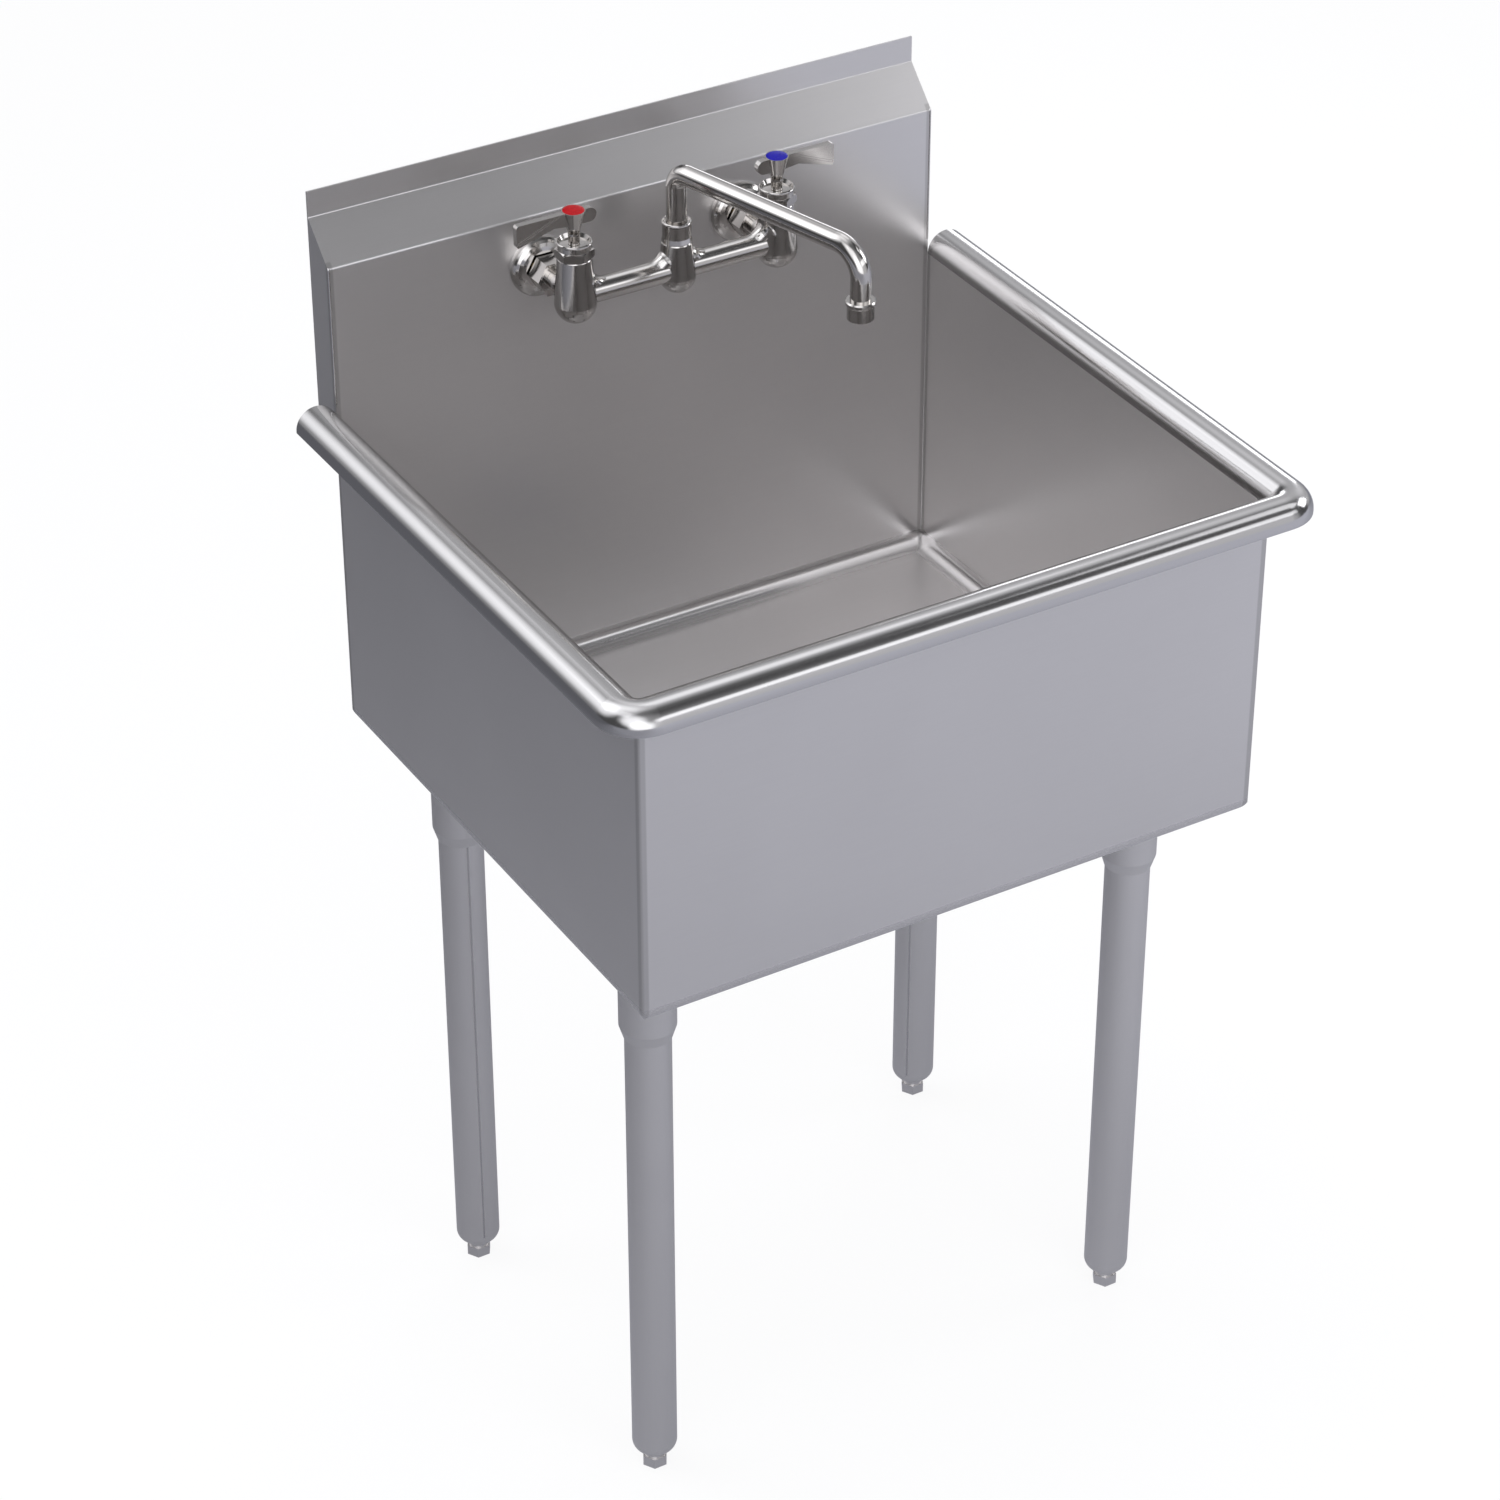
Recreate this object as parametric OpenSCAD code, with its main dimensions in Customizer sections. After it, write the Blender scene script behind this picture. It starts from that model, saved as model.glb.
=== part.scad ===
// Utility laundry sink: one deep bowl on four round legs, with a wall-mounted bridge faucet.
// The origin is on the floor under the middle of the footprint. The front faces -Y, and +Z is up.

/* [Bowl] */
// Inside width of the bowl, left to right
bowl_w = 609.6; // [500:0.1:760]
// Inside depth of the bowl, back wall to front wall
bowl_d = 533.4; // [420:0.1:620]
// Height of the rim's top above the floor
rim_h = 914.4; // [800:0.1:1000]
// Depth from the rim's top down to the bowl's floor
bowl_depth = 331.5; // [260:0.5:400]
// Thickness of the stainless sheet
sheet_t = 1.5; // [1:0.1:2.5]
// Inside radius of the coves between floor and walls
cove_r = 15; // [10:0.5:24]
// Inside radius of the upright corners
corner_r = 1; // [0.5:0.5:9]

/* [Rolled rim] */
// Outside radius of the rolled rim
roll_r = 19.4; // [14:0.1:24]
// Straight drop below the roll's outer side
skirt_h = 2; // [1:0.1:8]

/* [Backsplash] */
// Height of the backsplash above the rim's top
splash_h = 186; // [175:1:240]
// Depth from the upright face back to the top edge's face
splash_d = 34.5; // [25:0.5:50]
// Height of the upright top edge above the slope
top_edge_h = 24.5; // [12:0.5:30]
// Angle of the slope from level
slope_a = 45; // [35:1:50]
// Drop of the end panels below the rim's top
panel_drop = 29; // [22:1:50]
// Inside radius of the sheet's bends
bend_r = 2; // [1:0.5:3]

/* [Legs] */
// Outside radius of a leg tube
leg_r = 20.64; // [16:0.01:24]
// Wall of a leg tube
leg_wall = 1.6; // [1.2:0.1:3]
// Distance of a leg's axis from the bowl's inside left or right face
leg_inset_x = 56; // [48:1:90]
// Distance of a leg's axis from the bowl's inside front or back face
leg_inset_y = 94; // [50:1:130]
// Outside radius of a leg socket
socket_r = 25.3; // [23:0.1:32]
// Length of a leg socket below the bowl
socket_len = 90; // [70:1:120]
// Height of the taper at a socket's lower end
socket_taper = 12; // [6:1:20]
// Thickness of the plate that closes a socket's top
socket_cap = 4; // [2:0.5:8]
// Radius of a socket's set screw
set_screw_r = 3; // [2:0.5:4]

/* [Feet] */
// Height of a foot that shows below its leg
foot_h = 30; // [27:0.5:40]
// Height of the foot's hexagon
hex_h = 10.5; // [8:0.5:14]
// Corner radius of the foot's hexagon
hex_r = 12.2; // [9:0.1:14]
// Radius of the foot's neck
neck_r = 9.8; // [8.5:0.1:11]
// Radius of the foot's shoulder
shoulder_r = 12; // [8:0.5:13]
// Radius of the hollow under the shoulder
hollow_r = 4; // [3:0.5:5]
// Radius of the foot's stem
stem_r = 8; // [6:0.1:9]
// Length of the foot's stem
stem_len = 50; // [40:1:70]
// Height of the threaded bush in a leg
bush_h = 22; // [15:1:24]

/* [Drain] */
// Radius of the drain hole in the bowl's floor
drain_hole_r = 44.5; // [44:0.5:47]
// Radius of the drain's flange
drain_flange_r = 57; // [54:0.5:62]
// Thickness of the drain's flange
drain_flange_t = 2.5; // [1.5:0.5:4]
// Outside radius of the drain's cup
cup_r = 43.5; // [42:0.5:43.5]
// Wall of the drain's cup
cup_wall = 2; // [1.5:0.1:2.5]
// Depth of the drain's cup below the bowl's inside floor
cup_h = 42; // [36:1:60]
// Radius of the drain's outlet bore
outlet_r = 19.5; // [17:0.5:21]
// Length of the drain's outlet thread
outlet_len = 18; // [12:1:30]
// Outside radius of the tailpiece
tail_r = 19.05; // [16:0.05:20.5]
// Length of the tailpiece
tail_len = 100; // [60:1:130]
// Radius of the strainer basket's lip
basket_r = 40.8; // [39:0.1:41]
// Height of the strainer basket
basket_h = 27; // [20:1:32]

/* [Faucet] */
// Distance between the two valve axes
valve_spacing = 203.2; // [180:0.1:230]
// Distance of the faucet's axis in front of the backsplash
faucet_reach = 66; // [60:1:85]
// Height of the bridge's axis above the rim's top
bridge_h = 77.6; // [70:0.1:90]
// Outside radius of the bridge tube
bridge_r = 11; // [8:0.1:12]
// Radius of a valve body at its widest
valve_r = 18.9; // [16:0.1:20]
// Radius of a valve body at its top
valve_top_r = 15.4; // [13:0.1:16]
// Height of a valve body's top above the bridge's axis
valve_top = 38; // [32:0.1:42]
// Height of a bonnet
bonnet_h = 16; // [15.5:0.5:22]
// Corner radius of a bonnet's hexagon
bonnet_hex_r = 17.7; // [17:0.1:20]
// Outside radius of a bonnet's ring
bonnet_ring_r = 16.2; // [15:0.1:18]
// Radius of a wall flange
flange_r = 28.6; // [26:0.1:34]
// Thickness of a wall flange
flange_t = 10; // [6:0.5:12]
// Radius of an inlet shank's pipe thread
shank_r = 10.4; // [9:0.1:11]

/* [Handles] */
// Radius of a handle's hub at its top
hub_r = 10.5; // [9:0.1:12]
// Radius of a handle's hub at its neck
hub_neck_r = 5.1; // [5:0.1:7]
// Height of a handle's hub
hub_h = 31.7; // [27:0.1:38]
// Height of the hub's straight neck
hub_neck_h = 10; // [4:0.5:12]
// Length of a lever from its axis to the tip
lever_len = 57; // [45:1:75]
// Length of the short tail on the other side
lever_tail = 21; // [14:1:24]
// Height of the lever at its tip
lever_tip_h = 21.5; // [16:0.5:23]
// Thickness of the lever
lever_t = 6; // [4:0.5:8]
// Radius of a colour index
index_r = 9.7; // [8:0.1:11]

/* [Spout] */
// Outside radius of the spout tube
spout_r = 9.2; // [8:0.1:9.5]
// Wall of the spout tube
spout_wall = 1.3; // [1:0.1:1.6]
// Reach of the spout from its riser to its outlet
spout_reach = 217; // [150:1:260]
// Height of the spout arm's axis above the bridge's axis
arm_h = 93.9; // [92:0.1:110]
// Bend radius at the riser's top
riser_bend_r = 14; // [12:0.5:20]
// Bend radius at the spout's outlet
outlet_bend_r = 27; // [20:0.5:34]
// Angle that the spout is swung to the right of straight ahead
spout_swing = 15.8; // [-60:0.1:60]
// Radius of the aerator's ring
aerator_ring_r = 13.3; // [12:0.1:15]
// Radius of the aerator at its outlet
aerator_r = 11.8; // [11:0.1:12]
// Height of the aerator
aerator_h = 18; // [17:0.5:26]

/* [Clearances] */
// Radial clearance of a turning or sliding fit
fit_c = 0.05; // [0.02:0.01:0.1]
// Radial clearance between fixed pieces that slip over each other
slip_c = 0.15; // [0.05:0.01:0.4]
// Gap between pieces that move past each other without touching
free_c = 0.4; // [0.3:0.1:1]

/* [Hidden] */
$fn = 96;

STEEL = [0.68, 0.69, 0.71];
BRIGHT = [0.84, 0.86, 0.88];
CHROME = [0.90, 0.91, 0.93];
BRASS = [0.78, 0.64, 0.35];
RUBBER = [0.12, 0.12, 0.13];
FIBRE = [0.72, 0.62, 0.48];
NYLON = [0.88, 0.88, 0.86];
HOT = [0.78, 0.08, 0.12];
COLD = [0.14, 0.12, 0.70];

// A cut runs this far past the face that it opens
past = 1;

// The box of the whole sink is centred on the origin in X and Y
face_y = (bowl_d + 2 * roll_r - splash_d - sheet_t) / 2;
front_y = face_y - bowl_d;
half_w = bowl_w / 2;
spring_z = rim_h - roll_r;
floor_z = rim_h - bowl_depth;
under_z = floor_z - sheet_t;

// Backsplash section: the slope's ends and the centres of its two bends
splash_top = rim_h + splash_h;
slope_rise = splash_d * tan(slope_a);
slope_z = splash_top - top_edge_h - slope_rise;
bend_out = bend_r + sheet_t;
low_bend = [bend_out, slope_z + bend_out * ((1 - sin(slope_a)) * tan(slope_a) - cos(slope_a))];
high_bend = [
    splash_d - bend_r,
    slope_z + (splash_d - bend_r * (1 - sin(slope_a))) * tan(slope_a) + bend_r * cos(slope_a)
];
splash_back = splash_d + sheet_t;

// Legs
leg_x = half_w - leg_inset_x;
leg_front_y = front_y + leg_inset_y;
leg_back_y = face_y - leg_inset_y;
leg_in_r = leg_r - leg_wall;
socket_bore_r = leg_r + slip_c;
leg_top = under_z - socket_cap - 1;
set_screw_z = under_z - socket_len / 2;
stem_end = foot_h + stem_len;

// Drain, on the bowl's middle
drain_y = (face_y + front_y) / 2;
gasket_t = 3;
slip_ring_t = 1.5;
locknut_h = 12;
ring_r = drain_hole_r + 12;
cup_in_r = cup_r - cup_wall;
cup_floor = floor_z - cup_h;
cup_base_t = 2.5;
cup_base = cup_floor - cup_base_t;
outlet_out_r = outlet_r + 3.5;
outlet_end = cup_base - outlet_len;
tail_flange_t = 2;
tail_flange_r = tail_r + 3;
tail_wall = 1.2;
tail_neck_r = tail_r + 0.4;
tail_neck = 8;
tail_nut_t = 3;
tail_nut_r = outlet_out_r + 6;
stopper_t = 4;
stopper_r = outlet_r + 6;
basket_z = cup_floor + stopper_t;
basket_wall = 0.9;
basket_top_r = basket_r - 3.5;
basket_low_r = basket_top_r - 5;
post_r = 3;
knob_r = 8;
knob_h = 9;
post_bore_r = post_r + fit_c;

// Faucet
faucet_y = face_y - faucet_reach;
faucet_z = rim_h + bridge_h;
valve_x = valve_spacing / 2;
dome_z = -6.3;
waterway_r = 5;
cartridge_r = 9;
cartridge_low = -4;
cartridge_head_r = 10.5;
cartridge_head_h = 8;
stem_pin_r = 4;
bonnet_r = bonnet_ring_r - 1;
bonnet_hex_h = 8.5;
bonnet_ring_h = 3;
bonnet_dish = 3.5;
flare_tilt = 25;
flare_r = 17.5;
inlet_r = 10;
inlet_collar_r = 12.5;
inlet_collar_t = 4;
nut_shoulder = 6;
nut_len = 20;
nut_r = 17.3;
nut_gap = 2;
nut_back = flange_t + nut_gap;
nut_front = nut_back + nut_len;
collar_back = nut_front - nut_shoulder - inlet_collar_t;
shank_head_back = flange_t - 4;
shank_end = 32;
shank_bore_r = 7;
washer_t = 1.5;
locknut_t = 8;
locknut_r = 16.5;
shank_body_r = shank_r + 1;
shank_body_end = sheet_t + washer_t + locknut_t + 1;
shank_hole_r = shank_body_r + 0.6;

// Centre body, spout nut and spout
centre_r = 16.8;
centre_top_r = 13.9;
centre_top = 27;
spout_nut_h = 20;
spout_nut_r = 12.9;
spout_nut_ring_r = 13.5;
spout_nut_ring_h = 3.2;
spout_nut_dish = 1.8;
riser_low = 6;
riser_bore_r = spout_r + fit_c;
spout_in_r = spout_r - spout_wall;
seal_w = 2.4;
seal_depth = 0.7;
seal_low = 10;
seal_high = 18;
arm_len = spout_reach - riser_bend_r - outlet_bend_r;
outlet_top = arm_h - outlet_bend_r;
aerator_top = 48.4;
aerator_ring_h = 4.5;
spout_tip = aerator_top - 9;
screen_r = spout_r + 0.5;

// Handles, measured from the bonnet's top
bonnet_top = valve_top + bonnet_h;
hub_low = bonnet_top - bonnet_dish + free_c;
hub_top = hub_low + hub_h;
hub_flare_h = hub_h - hub_neck_h;
index_t = 1.8;
index_crown = 1.2;
index_sink = 0.8;
screw_head_r = 3.6;
screw_head_h = 3;
screw_shank_r = 2;
screw_len = 14;
stem_top = hub_top - 12;
screw_seat = stem_top + 2.5;

// Points on an arc about c, with r and angles in degrees
function arc(c, r, a0, a1, n = 6) =
    [for (i = [0:n]) c + r * [cos(a0 + (a1 - a0) * i / n), sin(a0 + (a1 - a0) * i / n)]];

// A plan outline with four rounded corners
module rounded_plan(w, y0, y1, r) {
    translate([-w / 2 + r, y0]) square([w - 2 * r, y1 - y0]);
    translate([-w / 2, y0 + r]) square([w, y1 - y0 - 2 * r]);
    for (x = [-1, 1], y = [y0 + r, y1 - r])
        translate([x * (w / 2 - r), y]) circle(r);
}

// A section from u0 to u1 that stands on v = 0, with its two lower corners rounded
module coved_section(u0, u1, h, r) {
    translate([u0 + r, 0]) square([u1 - u0 - 2 * r, h]);
    translate([u0, r]) square([u1 - u0, h - r]);
    for (u = [u0 + r, u1 - r])
        translate([u, r]) circle(r);
}

// A block with rounded upright corners and a rounded edge all round its floor
module coved_block(w, y0, y1, z0, z1, edge_r, upright_r) {
    h = z1 - z0;
    translate([0, 0, z0]) intersection() {
        linear_extrude(h) rounded_plan(w, y0, y1, upright_r);
        translate([0, y1 + past, 0]) rotate([90, 0, 0])
            linear_extrude(y1 - y0 + 2 * past) coved_section(-w / 2, w / 2, h, edge_r);
        translate([-w / 2 - past, 0, 0]) rotate([90, 0, 90])
            linear_extrude(w + 2 * past) coved_section(y0, y1, h, edge_r);
    }
}

module bowl() {
    color(STEEL) difference() {
        coved_block(bowl_w + 2 * sheet_t, front_y - sheet_t, face_y + sheet_t, under_z, spring_z,
                    cove_r + sheet_t, corner_r + sheet_t);
        coved_block(bowl_w, front_y, face_y, floor_z, spring_z + past, cove_r, corner_r);
        translate([0, drain_y, under_z - past]) cylinder(r = drain_hole_r, h = sheet_t + 2 * past);
    }
}

// The roll's section: x runs outward from the wall's inner face, y up from the spring line
module roll_section() {
    intersection() {
        difference() {
            translate([roll_r, 0]) circle(roll_r);
            translate([roll_r, 0]) circle(roll_r - sheet_t);
        }
        square([2 * roll_r, roll_r]);
    }
    translate([2 * roll_r - sheet_t, -skirt_h]) square([sheet_t, skirt_h]);
}

module roll_side() {
    translate([half_w, face_y, spring_z]) rotate([90, 0, 0])
        linear_extrude(bowl_d - corner_r) roll_section();
}

module rolled_rim() {
    color(BRIGHT) {
        roll_side();
        mirror([1, 0, 0]) roll_side();
        translate([half_w - corner_r, front_y, spring_z]) rotate([0, 0, -90]) rotate([90, 0, 0])
            linear_extrude(bowl_w - 2 * corner_r) roll_section();
        for (side = [-1, 1])
            translate([side * (half_w - corner_r), front_y + corner_r, spring_z])
                rotate([0, 0, side < 0 ? 180 : 270])
                    rotate_extrude(angle = 90) translate([corner_r, 0]) roll_section();
    }
}

// Half-round plates welded into the roll's two back ends
module rim_end_plates() {
    color(BRIGHT) for (side = [0, 1])
        mirror([side, 0, 0]) translate([half_w, face_y, spring_z]) rotate([90, 0, 0])
            linear_extrude(sheet_t) {
                intersection() {
                    translate([roll_r, 0]) circle(roll_r - sheet_t);
                    square([2 * roll_r, roll_r]);
                }
                translate([sheet_t, -skirt_h]) square([2 * (roll_r - sheet_t), skirt_h]);
            }
}

// The backsplash's section: x runs back from its face, y is the height above the floor
splash_front = concat(
    [[0, spring_z]],
    arc(low_bend, bend_out, 180, 90 + slope_a),
    arc(high_bend, bend_r, slope_a - 90, 0),
    [[splash_d, splash_top]]
);
splash_rear = concat(
    arc(high_bend, bend_r + sheet_t, 0, slope_a - 90),
    arc(low_bend, bend_r, 90 + slope_a, 180)
);

module splash_run(x0, w) {
    translate([x0, face_y, 0]) rotate([90, 0, 90]) linear_extrude(w) children();
}

module backsplash() {
    color(STEEL) difference() {
        splash_run(-half_w, bowl_w)
            polygon(concat(splash_front, [[splash_back, splash_top]], splash_rear, [[sheet_t, spring_z]]));
        for (side = [-1, 1])
            translate([side * valve_x, face_y - past, faucet_z]) rotate([-90, 0, 0])
                cylinder(r = shank_hole_r, h = sheet_t + 2 * past);
    }
}

module splash_end(x0) {
    color(STEEL) splash_run(x0, sheet_t)
        polygon(concat(splash_rear, [[sheet_t, rim_h - panel_drop], [splash_back, rim_h - panel_drop]]));
}

module splash_end_left() { splash_end(-half_w); }
module splash_end_right() { splash_end(half_w - sheet_t); }

// side is -1 on the left and 1 on the right; end is -1 at the front and 1 at the back
module at_leg(side, end) {
    translate([side * leg_x, end < 0 ? leg_front_y : leg_back_y, 0]) children();
}

module socket(side, end) {
    bottom = under_z - socket_len;
    color(STEEL) at_leg(side, end) difference() {
        rotate_extrude() polygon([
            [0, under_z - socket_cap], [socket_bore_r, under_z - socket_cap], [socket_bore_r, bottom],
            [leg_r + 1, bottom], [socket_r, bottom + socket_taper], [socket_r, under_z], [0, under_z]
        ]);
        translate([0, 0, set_screw_z]) rotate([0, -side * 90, 0])
            cylinder(r = set_screw_r, h = socket_r + past);
    }
}

module socket_front_left() { socket(-1, -1); }
module socket_front_right() { socket(1, -1); }
module socket_back_left() { socket(-1, 1); }
module socket_back_right() { socket(1, 1); }

// One hexagon-socket screw in each leg socket, on the side that faces the sink's middle
module socket_set_screws() {
    length = socket_r - socket_bore_r + 1;
    color(BRIGHT) for (side = [-1, 1], end = [-1, 1])
        at_leg(side, end) translate([0, 0, set_screw_z]) rotate([0, -side * 90, 0])
            translate([0, 0, socket_bore_r]) difference() {
                cylinder(r = set_screw_r - fit_c, h = length);
                translate([0, 0, length - 2.5]) cylinder(r = set_screw_r * 0.55, h = 2.5 + past, $fn = 6);
            }
}

module leg(side, end) {
    color(STEEL) at_leg(side, end) translate([0, 0, foot_h]) difference() {
        cylinder(r = leg_r, h = leg_top - foot_h);
        translate([0, 0, -past]) cylinder(r = leg_in_r, h = leg_top - foot_h + 2 * past);
    }
}

module leg_front_left() { leg(-1, -1); }
module leg_front_right() { leg(1, -1); }
module leg_back_left() { leg(-1, 1); }
module leg_back_right() { leg(1, 1); }

// Threaded bushes pressed into the legs' lower ends
module foot_bushes() {
    color(NYLON) for (side = [-1, 1], end = [-1, 1])
        at_leg(side, end) translate([0, 0, foot_h]) difference() {
            cylinder(r = leg_in_r - 0.02, h = bush_h);
            translate([0, 0, -past]) cylinder(r = stem_r + fit_c, h = bush_h + 2 * past);
        }
}

// A bullet foot: the shoulder rolls in to a neck above a hexagon for the spanner
module foot(side, end) {
    turn = acos((neck_r + hollow_r + shoulder_r - leg_r) / (shoulder_r + hollow_r));
    shoulder = [leg_r - shoulder_r, foot_h - 1];
    hollow = shoulder + (shoulder_r + hollow_r) * [cos(turn), -sin(turn)];
    color(STEEL) at_leg(side, end) {
        rotate_extrude() polygon(concat(
            [[0, hex_h / 2], [neck_r, hex_h / 2]],
            arc(hollow, hollow_r, 180, 180 - turn),
            arc(shoulder, shoulder_r, -turn, 0, 8),
            [[leg_r, foot_h], [stem_r, foot_h], [stem_r, stem_end - 2], [stem_r - 2, stem_end], [0, stem_end]]
        ));
        cylinder(r = hex_r, h = hex_h, $fn = 6);
    }
}

module foot_front_left() { foot(-1, -1); }
module foot_front_right() { foot(1, -1); }
module foot_back_left() { foot(-1, 1); }
module foot_back_right() { foot(1, 1); }

// A ring about the drain's axis, from z0 up
module drain_ring(r_in, r_out, z0, h) {
    translate([0, drain_y, z0]) difference() {
        cylinder(r = r_out, h = h);
        translate([0, 0, -past]) cylinder(r = r_in, h = h + 2 * past);
    }
}

// The strainer's cup, with a flange that lies on the bowl's floor and a threaded outlet
module drain_body() {
    color(BRIGHT) translate([0, drain_y, 0]) rotate_extrude() polygon([
        [cup_in_r, floor_z + 1], [cup_in_r + 2.5, floor_z + drain_flange_t],
        [drain_flange_r - 3, floor_z + drain_flange_t], [drain_flange_r, floor_z],
        [cup_r, floor_z], [cup_r, cup_base], [outlet_out_r, cup_base], [outlet_out_r, outlet_end],
        [outlet_r, outlet_end], [outlet_r, cup_floor], [cup_in_r, cup_floor]
    ]);
}

module drain_gasket() {
    color(RUBBER) drain_ring(cup_r + slip_c, ring_r, under_z - gasket_t, gasket_t);
}

module drain_slip_ring() {
    color(FIBRE) drain_ring(cup_r + slip_c, ring_r, under_z - gasket_t - slip_ring_t, slip_ring_t);
}

// A cast ring nut with six lugs for the spanner
module drain_locknut() {
    top = under_z - gasket_t - slip_ring_t;
    color(CHROME) difference() {
        translate([0, drain_y, top - locknut_h]) {
            cylinder(r = cup_r + 6, h = locknut_h);
            translate([0, 0, locknut_h - 3]) cylinder(r = ring_r + 1, h = 3);
            for (a = [0:60:300])
                rotate([0, 0, a]) translate([cup_r + 3, -4, 0]) cube([10, 8, locknut_h - 1]);
        }
        translate([0, drain_y, top - locknut_h - past])
            cylinder(r = cup_r + slip_c, h = locknut_h + 2 * past);
    }
}

// The nut turns on the outlet's thread and holds the tailpiece's flange
module tail_nut() {
    bottom = outlet_end - tail_flange_t - tail_nut_t;
    height = tail_nut_t + tail_flange_t + outlet_len - 4;
    color(CHROME) translate([0, drain_y, bottom]) difference() {
        union() {
            cylinder(r = tail_nut_r, h = height, $fn = 6);
            translate([0, 0, height - 4]) cylinder(r = tail_nut_r * 0.9, h = 5);
        }
        translate([0, 0, -past]) cylinder(r = tail_neck_r + slip_c, h = tail_nut_t + 2 * past);
        translate([0, 0, tail_nut_t]) cylinder(r = outlet_out_r + slip_c, h = height + past);
    }
}

module tailpiece() {
    top = outlet_end;
    color(CHROME) translate([0, drain_y, 0]) rotate_extrude() polygon([
        [tail_r - tail_wall, top], [tail_flange_r, top], [tail_flange_r, top - tail_flange_t],
        [tail_neck_r, top - tail_flange_t], [tail_neck_r, top - tail_neck], [tail_r, top - tail_neck],
        [tail_r, top - tail_len], [tail_r - tail_wall, top - tail_len]
    ]);
}

// A pressed basket with rings of round holes in its floor and its side
module strainer_basket() {
    color(BRIGHT) translate([0, drain_y, basket_z]) difference() {
        rotate_extrude() polygon([
            [0, 0], [basket_low_r, 0], [basket_top_r, basket_h - basket_wall],
            [basket_r, basket_h - basket_wall], [basket_r, basket_h],
            [basket_top_r - basket_wall, basket_h], [basket_low_r - basket_wall, basket_wall],
            [0, basket_wall]
        ]);
        translate([0, 0, -past]) cylinder(r = post_bore_r, h = basket_wall + 2 * past);
        for (a = [0:30:330]) rotate([0, 0, a])
            translate([basket_low_r - 5, 0, -past]) cylinder(r = 2, h = basket_wall + 2 * past);
        for (a = [15:30:345]) rotate([0, 0, a])
            translate([0, 0, basket_h * 0.45]) rotate([0, 90, 0])
                translate([0, 0, basket_low_r - 4]) cylinder(r = 2, h = 14);
    }
}

// A rubber disc under the basket that closes the outlet when the basket is down
module basket_stopper() {
    color(RUBBER) drain_ring(post_bore_r, stopper_r, cup_floor, stopper_t);
}

// The basket's post with its pull knob above and a guide tip below
module basket_post() {
    top = basket_z + basket_h + 4;
    color(BRIGHT) translate([0, drain_y, 0]) rotate_extrude() polygon(concat(
        [[0, cup_floor - 6], [post_r - 1, cup_floor - 6], [post_r, cup_floor - 4], [post_r, top - knob_h],
         [knob_r - 3, top - knob_h]],
        arc([knob_r - 3, top - 3], 3, 0, 90),
        [[0, top]]
    ));
}

// Places a valve's pieces on its axis, with z = 0 on the bridge's axis
module at_valve(side) {
    translate([side * valve_x, faucet_y, faucet_z]) children();
}

// The faucet's own frame: x runs along the bridge, y back toward the wall
module at_faucet() {
    translate([0, faucet_y, faucet_z]) children();
}

// A cast body that swells down from its top to a round foot
module cast_body(r, top_r, top) {
    rotate_extrude() polygon(concat(
        [[0, top], [top_r - 0.6, top], [top_r, top - 1]],
        [for (a = [0:10:90]) [r * cos(a), dome_z - r * sin(a)]]
    ));
}

// A horn about a tilted axis blends the bridge into a body; its top lands level, just inside the bridge
module flare(body_r, horn_r) {
    start = [0.2 * body_r, 0.74 * body_r];
    waist = 1.06 * body_r;
    buried = 0.25;
    landing = waist + flare_r * sin(flare_tilt);
    waist_r = (bridge_r - buried - start[1] + landing * sin(flare_tilt)) / cos(flare_tilt)
        - flare_r * (1 - cos(flare_tilt));
    open = acos(min(1, 1 - (horn_r - waist_r) / flare_r));
    translate([start[0], 0, start[1]]) rotate([0, 90 + flare_tilt, 0]) rotate_extrude() polygon(concat(
        [[0, 0], [horn_r, 0]],
        arc([waist_r + flare_r, waist], flare_r, 180 + open, 180 - flare_tilt, 10),
        [[0, landing]]
    ));
}

// The neck from a valve body to its inlet, with a collar for the union nut
module inlet_neck(length) {
    blend = 25;
    root_r = 0.69 * valve_r;
    open = acos(1 - (root_r - inlet_r) / blend);
    rotate([-90, 0, 0]) rotate_extrude() polygon(concat(
        [[0, 0], [root_r, 0]],
        arc([inlet_r + blend, blend], blend, 180 + open, 180),
        [[inlet_r, length - inlet_collar_t], [inlet_collar_r, length - inlet_collar_t],
         [inlet_collar_r, length], [0, length]]
    ));
}

// Both valve bodies, the centre body and the bridge are one casting
module faucet_body() {
    inlet_len = faucet_reach - collar_back;
    color(CHROME) at_faucet() difference() {
        union() {
            for (side = [-1, 1]) translate([side * valve_x, 0, 0]) {
                cast_body(valve_r, valve_top_r, valve_top);
                inlet_neck(inlet_len);
                mirror([side > 0 ? 1 : 0, 0, 0]) flare(valve_r, 0.79 * valve_r);
            }
            cast_body(centre_r, centre_top_r, centre_top);
            for (side = [0, 1])
                mirror([side, 0, 0]) flare(centre_r, 0.62 * centre_r);
            translate([-valve_x, 0, 0]) rotate([0, 90, 0]) cylinder(r = bridge_r, h = valve_spacing);
        }
        for (side = [-1, 1]) translate([side * valve_x, 0, 0]) {
            translate([0, 0, cartridge_low]) cylinder(r = cartridge_r + slip_c, h = valve_top + 10);
            rotate([-90, 0, 0]) cylinder(r = waterway_r + 1, h = inlet_len + past);
        }
        translate([-valve_x, 0, 0]) rotate([0, 90, 0]) cylinder(r = waterway_r, h = valve_spacing);
        translate([0, 0, riser_low]) cylinder(r = riser_bore_r, h = centre_top);
        cylinder(r = waterway_r, h = centre_top);
    }
}

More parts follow.
